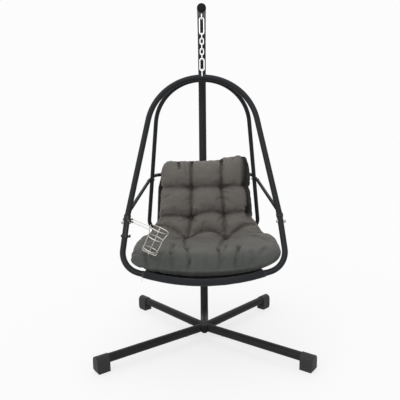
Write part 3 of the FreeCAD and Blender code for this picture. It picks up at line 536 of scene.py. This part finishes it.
# How much a stitched line counts as a hollow, the fold's depth that counts as a full
# one, both for painted shade in seams and creases, and where the front's painted shade
# fades: start, length and share of each of two steps
LINE_HOLLOW = 0.55
FOLD_HOLLOW = 0.050
FRONT_SHADE_FADES = ((0.02, 0.20, 0.55), (0.42, 0.22, 0.45))

# The underside's lengths across start this much further on, and across stays under
# TOP_ACROSS on the whole top
UNDERSIDE_SHIFT = 0.5
TOP_ACROSS = 0.46

# Folds in the seat's front: x and y of both ends, depth, half width
FRONT_FOLDS = (
    (-0.098, 0.06, -0.118, -0.020, 0.014, 0.030), (-0.118, -0.02, -0.102, -0.270, 0.015, 0.028),
    (-0.172, -0.19, -0.180, -0.340, 0.012, 0.026), (-0.180, -0.33, -0.160, -0.446, 0.014, 0.026),
    (-0.094, -0.23, -0.075, -0.405, 0.013, 0.024), (-0.075, -0.40, -0.083, -0.452, 0.014, 0.020),
    (0.138, 0.06, 0.083, -0.260, 0.017, 0.028), (0.083, -0.25, 0.092, -0.440, 0.016, 0.022),
    (0.150, 0.04, 0.130, -0.200, 0.010, 0.022), (0.130, -0.20, 0.100, -0.420, 0.010, 0.018),
    (0.200, -0.24, 0.166, -0.450, 0.020, 0.026), (-0.284, -0.29, -0.254, -0.420, 0.012, 0.024),
    (-0.312, -0.38, -0.292, -0.455, 0.015, 0.020), (0.328, -0.33, 0.300, -0.410, 0.011, 0.020),
    (0.255, -0.36, 0.262, -0.452, 0.009, 0.018), (-0.225, -0.36, -0.235, -0.450, 0.008, 0.016),
    (0.020, -0.38, 0.014, -0.452, 0.005, 0.016), (0.138, 0.05, 0.215, -0.080, 0.010, 0.030),
    (-0.098, 0.05, -0.190, -0.060, 0.010, 0.030), (0.300, -0.05, 0.360, -0.220, 0.007, 0.034),
    (-0.290, -0.04, -0.350, -0.230, 0.007, 0.034),
)

# Folds in the back, from its top edge and from its tufts: x and z of both ends,
# depth, half width
BACK_FOLDS = (
    (-0.155, 1.104, -0.146, 1.045, 0.026, 0.016), (-0.066, 1.104, -0.068, 1.060, 0.020, 0.016),
    (0.116, 1.104, 0.118, 1.060, 0.016, 0.016), (0.196, 1.104, 0.184, 1.055, 0.005, 0.020),
    (-0.120, 1.100, -0.100, 1.010, 0.006, 0.020), (0.262, 1.060, 0.268, 0.960, 0.008, 0.016),
    (-0.073, 0.929, -0.160, 0.950, 0.006, 0.022), (-0.073, 0.929, -0.025, 0.900, 0.006, 0.020),
    (0.115, 0.929, 0.200, 0.918, 0.008, 0.022), (0.115, 0.929, 0.205, 0.950, 0.006, 0.020),
    (-0.076, 0.738, -0.150, 0.718, 0.007, 0.022), (-0.076, 0.738, -0.035, 0.780, 0.006, 0.020),
    (0.132, 0.755, 0.205, 0.790, 0.005, 0.022), (0.132, 0.755, 0.095, 0.715, 0.006, 0.020),
    (0.118, 0.900, 0.215, 0.878, 0.005, 0.024), (0.120, 0.860, 0.190, 0.820, 0.004, 0.026),
    (0.268, 0.800, 0.282, 0.740, 0.010, 0.016), (-0.210, 0.880, -0.262, 0.852, 0.006, 0.020),
)


def tuft_places(row):
    """x and length along the seat of a row's two tufts."""
    index, left, right, lean = row[:4]
    return (left, profile.row_at(index)), (right, profile.row_at(index) + lean)


def tuft_line(x, left, right, climb, side_climb, side_reach):
    """How far a row's crease climbs: none at the tufts, most between and beside them."""
    middle = np.sin(np.pi * np.clip((x - left) / (right - left), 0, 1)) ** 0.8
    outside = np.maximum(left - x, x - right)
    beside = np.sin(np.pi / 2 * np.clip(outside / side_reach, 0, 1))
    return np.where(outside > 0, side_climb * beside, climb * middle)


def seam_places(x, along):
    """Distances from the two upright seams, and from each row's crease."""
    rows = [profile.row_at(row[0]) for row in TUFT_ROWS]
    left_line = np.interp(along, rows, [row[1] for row in TUFT_ROWS])
    right_line = np.interp(along, rows, [row[2] for row in TUFT_ROWS])
    creases = []
    for (index, left, right, lean, climb, side_climb), reach in zip(TUFT_ROWS, SIDE_REACHES):
        level = profile.row_at(index) + lean * np.clip((x - left) / (right - left), 0, 1)
        creases.append(along - level - tuft_line(x, left, right, climb, side_climb, reach))
    return x - left_line, x - right_line, creases


def stitch_lines(x, along, width):
    """1 along the seams' stitching, falling to 0 close beside it."""
    left_away, right_away, creases = seam_places(x, along)
    seat_end = profile.row_at(TUFT_ROWS[0][0])
    upright = np.maximum(valley(left_away, width), valley(right_away, width))
    lines = upright * smooth_step((along - seat_end + STITCHING_START) / (2 * STITCHING_START))
    for away, wider, strength in zip(creases, ROW_WIDTHS, ROW_STRENGTHS):
        lines = np.maximum(lines, strength * valley(away, width * wider))
    return lines


def fold_depth(x, along, start, end, depth, width):
    """A soft crease from start to end, fading towards its end."""
    run = np.array(end) - np.array(start)
    length = np.hypot(*run)
    share = ((x - start[0]) * run[0] + (along - start[1]) * run[1]) / length ** 2
    inside = np.clip(share, 0, 1)
    away = np.hypot(x - start[0] - inside * run[0], along - start[1] - inside * run[1])
    fade = np.sqrt(np.clip(1.15 - inside, 0, 1))
    return depth * fade * valley(away, width)


def all_folds(x, along, width_share):
    """The depth of all folds together, with their widths scaled."""
    depth = np.zeros_like(x)
    for folds, along_of in ((FRONT_FOLDS, profile.along_y), (BACK_FOLDS, profile.along_z)):
        for start_x, start, end_x, end, fold, width in folds:
            ends = (start_x, along_of(start)), (end_x, along_of(end))
            depth = depth + fold_depth(x, along, *ends, fold, width * width_share)
    return depth


def side_panel(x, along):
    """How far the back's right side turns away behind the pillows' edge."""
    lower, upper = profile.along_z(PANEL_FROM), profile.along_z(PANEL_UP)
    edge = np.interp(along, [lower, upper - PANEL_SHIFT, upper + PANEL_SHIFT], PANEL_EDGES)
    return smooth_step((along - lower) / PANEL_RUN) * smooth_step((x - edge) / PANEL_TURN)


def cushion_hollows(x, along):
    """How deep the top is drawn in by seams, tufts and folds, and how firmly."""
    left_away, right_away, creases = seam_places(x, along)
    rows = [profile.row_at(row[0]) for row in TUFT_ROWS]
    places = [0, rows[0] - UPRIGHT_START, *rows, profile.length]
    upright = np.maximum(valley(left_away, SEAM_WIDTH), valley(right_away, SEAM_WIDTH))
    depth = np.interp(along, places, UPRIGHT_DEPTHS) * upright
    depth = depth + PANEL_DEPTH * side_panel(x, along)
    held = STITCH_HOLD * stitch_lines(x, along, STITCH_WIDTH)
    for row, row_depth, crease in zip(TUFT_ROWS, ROW_DEPTHS, creases):
        depth = depth + row_depth * valley(crease, SEAM_WIDTH)
        for tuft, length in tuft_places(row):
            away = np.hypot(x - tuft, along - length)
            depth = depth + TUFT_DEPTH * valley(away, TUFT_WIDTH)
            held = np.maximum(held, (away < TUFT_HOLD_RADIUS).astype(float))
    return depth + all_folds(x, along, 1.0), held


def section_arch(power_x, power_height):
    """Evenly spaced points over a flattened arch from -1 to 1: x and height share."""
    angle = np.linspace(0, np.pi, OUTLINE_STEPS)
    x = -np.sign(np.cos(angle)) * np.abs(np.cos(angle)) ** (2 / power_x)
    height = np.sin(angle) ** (2 / power_height)
    steps = np.hypot(np.diff(x), np.diff(height) * SECTION_ASPECT)
    length = np.concatenate([[0], np.cumsum(steps)])
    even = np.linspace(0, length[-1], TOP_COLUMNS + 1)
    return np.interp(even, length, x), np.interp(even, length, height)


def cushion_lengths():
    """Lengths along the seat of the mesh's rows, closer at the rounded ends."""
    turn = 1 - np.cos(np.linspace(FIRST_TURN, np.pi / 2, END_ROWS))
    inner = profile.length - FRONT_ROUNDING - TOP_ROUNDING
    count = int(inner / ROW_STEP)
    middle = FRONT_ROUNDING + inner * np.arange(1, count) / count
    return np.concatenate([FRONT_ROUNDING * turn, middle,
                           profile.length - TOP_ROUNDING * turn[::-1]])


def end_rounding(lengths, front_rounding):
    """The share of its full height that the top or underside keeps near the two ends."""
    front = np.clip(1 - lengths / front_rounding, 0, 1) ** FRONT_POWER
    top = np.clip(1 - (profile.length - lengths) / TOP_ROUNDING, 0, 1) ** TOP_POWER
    return np.sqrt(np.clip(1 - front - top, 0, 1))


def left_reach(length):
    """How much wider the left side is than the right; less than 0 is narrower."""
    end = profile.length
    return float(np.interp(length, [0, 0.04, 0.09, 0.20, end - 0.07, end - 0.02, end],
                           [0.044, 0.032, 0.012, 0.0, 0.0, -0.008, -0.024]))


def top_edge_lift(x):
    """The back's top edge is higher at the right corner than at the left."""
    return np.interp(x, [-0.26, -0.05, 0.05, 0.110, 0.136, 0.225, 0.265, 0.29],
                     [0.000, -0.001, 0.002, 0.005, 0.018, 0.030, 0.022, 0.000])


def cushion_rows():
    """The cushion's rows of points, each a closed loop over the top and back below.

    With them come each point's lengths across and along, and how firmly it is held.
    """
    lengths = cushion_lengths()
    values = profile.at(lengths)
    notches = sum(valley(lengths - profile.row_at(row[0]), NOTCH_WIDTH) for row in TUFT_ROWS[1:])
    values[3] = values[3] * (1 - NOTCH_SHARE * notches)
    top_ends = end_rounding(lengths, FRONT_ROUNDING)
    low_ends = end_rounding(lengths, UNDERSIDE_ROUNDING)
    top_x, top_height = section_arch(*TOP_POWERS)
    low_x, low_height = (part[-2:0:-1] for part in section_arch(*UNDERSIDE_POWERS))
    shares = np.concatenate([top_x, low_x])
    over = np.arange(len(shares)) <= TOP_COLUMNS
    inward = 1 - np.abs(shares)
    edge = np.clip(1 - inward / EDGE_SHARE, 0, 1) * EDGE_HOLD
    points, across, along, held = [], [], [], []
    stations = zip(lengths, *values, top_ends, low_ends)
    for length, y, z, tilt, half, rise, thickness, top_end, low_end in stations:
        heights = np.concatenate([0.5 + 0.5 * top_height * top_end, 0.5 - 0.5 * low_height * low_end])
        x = CUSHION_X + half * shares - left_reach(length) * np.clip(-shares, 0, 1) ** 2
        depth, grip = cushion_hollows(x, np.full_like(x, length))
        fade = smooth_step(inward / FADE_SHARE) * top_end
        height = heights * thickness + rise * (shares + CUSHION_X / half) ** 2
        height = height - np.where(over, depth * fade, 0)
        normal = normals_of(np.array([tilt]))[0]
        lift = top_edge_lift(x) * smooth_step((length - profile.length + LIFT_REACH) / LIFT_REACH)
        points.append(np.stack([x, y + normal[1] * height, z + normal[2] * height + lift], -1))
        across.append(np.where(over, x, x + UNDERSIDE_SHIFT))
        along.append(np.full_like(x, length))
        held.append(np.where(over, np.maximum(grip, edge), 1.0))
    return np.array(points), np.array(across), np.array(along), np.array(held)


def cushion_faces(rows, columns):
    """The sides between loops, and the two ends zipped from top to underside."""
    faces = grid_faces(rows, columns, closed=True)
    half = columns // 2
    for start, flip in ((0, False), ((rows - 1) * columns, True)):
        for column in range(half):
            low = (columns - column) % columns
            face = [start + column, start + low, start + (columns - column - 1) % columns,
                    start + column + 1]
            if column == 0:
                face = [start, start + columns - 1, start + 1]
            elif column == half - 1:
                face = [start + column, start + columns - column, start + column + 1]
            faces.append(tuple(face[::-1] if flip else face))
    return faces


def inflate(piece, held):
    """Swells a cloth shell round its held points; no point moves past SWELL_LIMIT."""
    group = piece.vertex_groups.new(name="held")
    for index, weight in enumerate(held):
        if weight > 0.01:
            group.add([index], float(weight), "REPLACE")
    cloth = piece.modifiers.new("cloth", "CLOTH")
    settings = cloth.settings
    settings.quality = 5
    settings.mass = 0.25
    settings.tension_stiffness = 12
    settings.compression_stiffness = 6
    settings.shear_stiffness = 4
    settings.bending_stiffness = 0.25
    settings.use_pressure = True
    settings.uniform_pressure_force = 4.0
    settings.shrink_min = -0.07
    settings.vertex_group_mass = "held"
    settings.effector_weights.gravity = 0
    cloth.collision_settings.use_collision = False
    cloth.collision_settings.use_self_collision = False
    start = read_vectors(piece.data.vertices, "co")
    scene = bpy.context.scene
    for step in range(CLOTH_STEPS):
        scene.frame_set(1 + step)
    evaluated = piece.evaluated_get(bpy.context.evaluated_depsgraph_get())
    move = read_vectors(evaluated.data.vertices, "co") - start
    length = np.linalg.norm(move, axis=1, keepdims=True)
    move *= np.minimum(1, SWELL_LIMIT / np.maximum(length, 1e-9))
    piece.modifiers.remove(cloth)
    piece.vertex_groups.remove(group)
    scene.frame_set(1)
    piece.data.vertices.foreach_set("co", (start + move).astype(np.float32).ravel())
    piece.data.update()


def store_painted_shade(mesh, across, along, folds):
    """Where the cloth gets painted shade: in a hollow, at the seat's front, on the side that turns
    away.
    """
    over = across < TOP_ACROSS
    lines = stitch_lines(across, along, STITCH_WIDTH * 0.5)
    # Painted shade in stitched seams and in folds
    hollow = np.clip(lines * LINE_HOLLOW + folds / FOLD_HOLLOW, 0, 1)
    # Painted shade at the seat's front, fading in two steps towards the back
    shaded = np.ones_like(hollow)
    for start, run, share in FRONT_SHADE_FADES:
        shaded = shaded - share * smooth_step((along - start) / run)
    store_field(mesh, "hollow", hollow * over)
    store_field(mesh, "shaded", shaded)
    # Painted shade where the back's right side turns away
    store_field(mesh, "side_shade", side_panel(across, along) * over)


def crumple(mesh):
    """Folds, stitched lines, puckers at the edges and the filling's unevenness."""
    points = read_vectors(mesh.vertices, "co")
    normals = read_vectors(mesh.vertex_normals, "vector")
    across, along = read_field(mesh, "across"), read_field(mesh, "along")
    over = across < TOP_ACROSS
    inward = profile.at(along)[3] - np.abs(across - CUSHION_X)
    side = np.clip(1 - inward / PUCKER_REACH, 0, 1) * over
    ends = np.clip(1 - np.minimum(along, profile.length - along) / PUCKER_REACH, 0, 1)
    folds = all_folds(across, along, FOLD_SHARE)
    store_painted_shade(mesh, across, along, folds)
    lines = stitch_lines(across, along, STITCH_WIDTH)
    move = -(lines * SEAM_DEPTH + folds * FOLD_SHARE) * smooth_step(inward / FOLD_MARGIN) * over
    wide, narrow = PUCKER_SCALES
    for index, (point, x, length) in enumerate(zip(points, across, along)):
        lump = sum(noise.noise(Vector(point) * scale) * height for scale, height in LUMPS)
        pucker = noise.noise(Vector((x * wide, length * narrow, 3.0))) * side[index]
        pucker += noise.noise(Vector((x * narrow, length * wide, 7.0))) * ends[index]
        move[index] += lump * over[index] + pucker * PUCKER
    points = points + normals * move[:, None]
    mesh.vertices.foreach_set("co", points.astype(np.float32).ravel())
    mesh.update()


def make_cushion(finishes):
    """The cushion in one piece: its form, swollen, made finer and then crumpled."""
    points, across, along, held = cushion_rows()
    rows, columns = points.shape[:2]
    cushion = mesh_piece("tufted_cushion", points.reshape(-1, 3), cushion_faces(rows, columns))
    store_field(cushion.data, "across", across)
    store_field(cushion.data, "along", along)
    inflate(cushion, held.ravel())
    finer = cushion.modifiers.new("finer", "SUBSURF")
    finer.levels = finer.render_levels = 1
    apply_modifier(cushion, finer)
    crumple(cushion.data)
    dress(cushion, finishes["cushion_fabric"])
    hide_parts("cushion")
    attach(cushion, "basket")
    return cushion


# Ties and stitches

# A rounded stitch's rings: share of its length and share of its radius
CAPSULE_RINGS = ((0.0, 0.35), (0.12, 0.9), (0.5, 1.0), (0.88, 0.9), (1.0, 0.35))
TIE_REACH = 0.006
TIE_RADIUS = 0.0011
TIE_LIFT = 0.0008
TIE_SIDES = 6


def capsule(start, end, radius, sides):
    """Points and faces of a short rounded stitch between two points."""
    axis = (end - start).normalized()
    side = axis.orthogonal().normalized()
    other = axis.cross(side)
    length = (end - start).length
    points = []
    for share, width in CAPSULE_RINGS:
        for step in range(sides):
            angle = 2 * math.pi * step / sides
            ring = side * math.cos(angle) + other * math.sin(angle)
            points.append(start + axis * (length * share) + ring * (radius * width))
    rings = len(CAPSULE_RINGS)
    faces = grid_faces(rings, sides, closed=True)
    faces.append(tuple(range(sides))[::-1])
    faces.append(tuple(range((rings - 1) * sides, rings * sides)))
    return points, faces


def make_tuft_ties(finishes, cushion):
    """A small cross of thread in each tuft."""
    mesh = cushion.data
    points = read_vectors(mesh.vertices, "co")
    across, along = read_field(mesh, "across"), read_field(mesh, "along")
    right = Vector((1, 0, 0))
    shapes = []
    for x, length in [place for row in TUFT_ROWS for place in tuft_places(row)]:
        normal = Vector(normals_of(profile.at(length)[2])[0])
        nearest = int(np.argmin(np.hypot(across - x, along - length)))
        centre = Vector(points[nearest]) + normal * TIE_LIFT
        up = right.cross(normal)
        for arm in (right + up, right - up):
            reach = arm.normalized() * TIE_REACH
            shapes.append(capsule(centre - reach, centre + reach, TIE_RADIUS, TIE_SIDES))
    ties = joined_piece("tuft_ties", shapes)
    dress(ties, finishes["cushion_thread"])
    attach(ties, "basket")


# Sling

# The gap to the cushion, the seat rows between which the sheet follows it, its half
# width there, and how much half width it loses for each metre
SLING_GAP = 0.0042
SLING_THICKNESS = 0.0016
SHARED_ROWS = (3, 14)
SHARED_POINTS = 52
SLING_FRONT_HALF = 0.324
SLING_TAPER = 0.043
HEM_WIDTH = 0.014
HEM_OFFSET = 0.0024
SLING_COLUMNS = 46
WEAVE_ROW = 0.022
RIPPLE = 0.0012
RIPPLE_SCALES = (22.0, 0.35)

# The sleeves: distance from a tube's surface to the sheet round it, and the angles
# round the bow and round the rail at which it has points
SLEEVE_SPACE = 0.0024
BOW_TURN = range(-90, -311, -20)
RAIL_TURN = range(180, -21, -20)

# The sleeves' free ends, and the way from the bow into the seat: y and z of each
# point from its tube's middle; the z of FRONT_END and FRONT_MEETING counts from the
# sleeve's lowest line instead
FRONT_END = ((0.040, 0.004), (0.020, 0.001))
FRONT_RETURN = (0.024, -0.004)
FRONT_MEETING = (0.040, 0.007)
RAIL_END = ((0.001, -0.026), (-0.010, -0.040))


def bow_centre(x):
    """y and z of the bow's middle at this x."""
    rise = BOW_RADIUS - math.sqrt(BOW_RADIUS ** 2 - x ** 2)
    return BOW_LOW.y + math.sin(BOW_LEAN) * rise, BOW_LOW.z + math.cos(BOW_LEAN) * rise


def sleeve_points(x, y, z, wrap, turn):
    """Points at these degrees round a tube, whose middle is at y and z."""
    angles = [math.radians(degrees) for degrees in turn]
    return [(x, y + wrap * math.cos(angle), z + wrap * math.sin(angle)) for angle in angles]


def front_sleeve(x):
    """From the free end under the seat round the bow and back over that end."""
    y, z = bow_centre(x)
    wrap = BOW_TUBE + SLEEVE_SPACE
    low = z - wrap
    points = [(x, y + back, low + up) for back, up in FRONT_END]
    points += sleeve_points(x, y, z, wrap, BOW_TURN)
    points.append((x, y + FRONT_RETURN[0], z + FRONT_RETURN[1]))
    points.append((x, y + FRONT_MEETING[0], low + FRONT_MEETING[1]))
    return points


def seat_stretch(x_share):
    """The sheet's line under and behind the cushion."""
    start, end = (profile.row_at(row) for row in SHARED_ROWS)
    points = []
    for length in np.linspace(start, end, SHARED_POINTS):
        y, z, tilt, half, rise, _ = (float(value[0]) for value in profile.at(length))
        normal = normals_of(np.array([tilt]))[0]
        x = (SLING_FRONT_HALF - SLING_TAPER * (length - start)) * x_share
        height = rise * (x / half) ** 2 - SLING_GAP
        points.append((x, y + normal[1] * height, z + normal[2] * height))
    return points


def rear_sleeve(x):
    """Round the back rail and down to the sleeve's free end."""
    points = sleeve_points(x, RAIL_AT.y, RAIL_AT.z, RAIL_TUBE + SLEEVE_SPACE, RAIL_TURN)
    return points + [(x, RAIL_AT.y + back, RAIL_AT.z + up) for back, up in RAIL_END]


def sling_path(x_share):
    """The sheet's line at one share of its width: x, y and z of each point."""
    return (front_sleeve(SLEEVE_HALF_WIDTH * x_share) + seat_stretch(x_share)
            + rear_sleeve(RAIL_SLEEVE_HALF_WIDTH * x_share))


def make_sling(finishes):
    """One sheet that goes round the bow, under the cushion and round the back rail."""
    inner = 1 - HEM_WIDTH / SLING_FRONT_HALF
    shares = np.concatenate([[-inner], np.linspace(-1, 1, SLING_COLUMNS), [inner]])
    paths = [sling_path(share) for share in shares]
    columns, rows = len(paths), len(paths[0])
    points, across, along = [], [], []
    for row in range(rows):
        for column, path in enumerate(paths):
            point = Vector(path[row])
            if column in (0, columns - 1):
                run = Vector(path[min(row + 1, rows - 1)]) - Vector(path[max(row - 1, 0)])
                point += Vector((1, 0, 0)).cross(run).normalized() * -HEM_OFFSET
            place = Vector((point.x * RIPPLE_SCALES[0], row * RIPPLE_SCALES[1], 1.0))
            ripple = noise.noise(place) * RIPPLE
            points.append(point + Vector((0, 0, ripple)))
            across.append(point.x)
            along.append(row * WEAVE_ROW)
    sling = mesh_piece("sling_sheet", points, grid_faces(rows, columns))
    store_field(sling.data, "across", across)
    store_field(sling.data, "along", along)
    solid = sling.modifiers.new("thickness", "SOLIDIFY")
    solid.thickness = SLING_THICKNESS
    solid.offset = 0
    apply_modifier(sling, solid)
    dress(sling, finishes["sling_fabric"])
    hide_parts("sling")
    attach(sling, "basket")
    return paths


# The sling's stitches: where the two rows that close a sleeve run between the last
# two points of its free end, how far each row is off the sheet, and a loose thread's way
STITCH_PITCH = 0.008
STITCH_LENGTH = 0.0052
STITCH_START = 0.004
STITCH_RADIUS = 0.0006
STITCH_SIDES = 5
SLEEVE_ROWS = (0.25, 0.6)
BELOW_SHEET = Vector((0, 0, -0.0014))
BEHIND_SHEET = Vector((0, 0.0014, 0))
OUTSIDE_HEM = Vector((0, 0.0012, -0.0012))
LOOSE_RADIUS = 0.0007
LOOSE_STEPS = (Vector((-0.004, -0.003, -0.012)), Vector((-0.001, -0.004, -0.022)))


def stitch_row(line, offset):
    """Evenly spaced stitches along a line of points, laid a little off the sheet."""
    line = np.array([tuple(point) for point in line])
    length = np.concatenate([[0], np.cumsum(np.linalg.norm(np.diff(line, axis=0), axis=1))])
    shapes = []
    for start in np.arange(STITCH_START, length[-1] - STITCH_LENGTH, STITCH_PITCH):
        ends = [Vector([float(np.interp(at, length, line[:, axis])) for axis in range(3)]) + offset
                for at in (start, start + STITCH_LENGTH)]
        shapes.append(capsule(*ends, STITCH_RADIUS, STITCH_SIDES))
    return shapes


def make_sling_stitches(finishes, paths):
    """Two rows of stitches close each sleeve, one holds each side hem, a thread end is loose."""
    inner = paths[2:-2]
    shapes = []
    for share in SLEEVE_ROWS:
        front = [Vector(path[0]).lerp(Vector(path[1]), share) for path in inner]
        rear = [Vector(path[-1]).lerp(Vector(path[-2]), share) for path in inner]
        shapes += stitch_row(front, BELOW_SHEET) + stitch_row(rear, BEHIND_SHEET)
    front_points = len(FRONT_END) + len(BOW_TURN) + 2
    rear_points = len(RAIL_TURN) + len(RAIL_END)
    for path in (paths[0], paths[-1]):
        shapes += stitch_row(path[front_points + 2:-rear_points - 1], OUTSIDE_HEM)
    end = Vector(paths[1][3])
    loose = [end, *(end + step for step in LOOSE_STEPS)]
    for start, stop in zip(loose, loose[1:]):
        shapes.append(capsule(start, stop, LOOSE_RADIUS, STITCH_SIDES))
    stitches = joined_piece("sling_stitches", shapes)
    dress(stitches, finishes["sling_thread"])
    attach(stitches, "basket")


# Room, light and view

def make_room():
    """A white floor that keeps soft shadows, in an evenly white surrounding."""
    white = Finish("white_floor", {"Roughness": 1.0, "Specular IOR Level": 0.0,
                                   "Base Color": shade(1.0, 1.0, 1.0, FLOOR_GREY),
                                   "Emission Color": shade(1.0, 1.0, 1.0),
                                   "Emission Strength": FLOOR_GLOW})
    corners = [(-1, -1), (1, -1), (1, 1), (-1, 1)]
    floor = mesh_piece("floor", [(x * FLOOR_REACH, y * FLOOR_REACH, 0) for x, y in corners],
                       [(0, 1, 2, 3)])
    dress(floor, white.material)
    world = bpy.data.worlds.new("studio")
    world.use_nodes = True
    background = world.node_tree.nodes["Background"]
    background.inputs["Strength"].default_value = WORLD_STRENGTH
    background.inputs["Color"].default_value = shade(1.0, 1.0, 1.0)
    bpy.context.scene.world = world


def soft_sun(name, azimuth, elevation, spread, strength):
    """Wide even light from an azimuth left of the front and a height, in degrees."""
    data = bpy.data.lights.new(name, "SUN")
    data.angle = math.radians(spread)
    data.energy = strength
    light = bpy.data.objects.new(name, data)
    bpy.context.scene.collection.objects.link(light)
    turn, lift = math.radians(azimuth), math.radians(elevation)
    place = Vector((-math.sin(turn) * math.cos(lift), -math.cos(turn) * math.cos(lift),
                    math.sin(lift)))
    light.matrix_world = (Matrix.Translation(place * SUN_DISTANCE)
                          @ (-place).to_track_quat("-Z", "Y").to_matrix().to_4x4())


def make_lights():
    soft_sun("key", azimuth=22, elevation=34, spread=90, strength=2.4)
    soft_sun("overhead", azimuth=180, elevation=62, spread=80, strength=1.2)


def make_camera():
    data = bpy.data.cameras.new("camera")
    data.sensor_width = SENSOR_WIDTH
    data.lens = FOCAL_PIXELS / PHOTO_SIDE * SENSOR_WIDTH
    camera = bpy.data.objects.new("camera", data)
    bpy.context.scene.collection.objects.link(camera)
    camera.matrix_world = (Matrix.Translation(CAMERA_AT)
                           @ Matrix.Rotation(math.radians(CAMERA_YAW), 4, "Z")
                           @ Matrix.Rotation(math.radians(90 - CAMERA_PITCH), 4, "X")
                           @ Matrix.Rotation(math.radians(CAMERA_ROLL), 4, "Z"))
    bpy.context.scene.camera = camera


make_camera()
make_room()
make_lights()
finishes = make_finishes()
dress_frame(finishes)
cushion = make_cushion(finishes)
make_tuft_ties(finishes, cushion)
sling_paths = make_sling(finishes)
make_sling_stitches(finishes, sling_paths)
bpy.context.scene.view_settings.view_transform = "Standard"
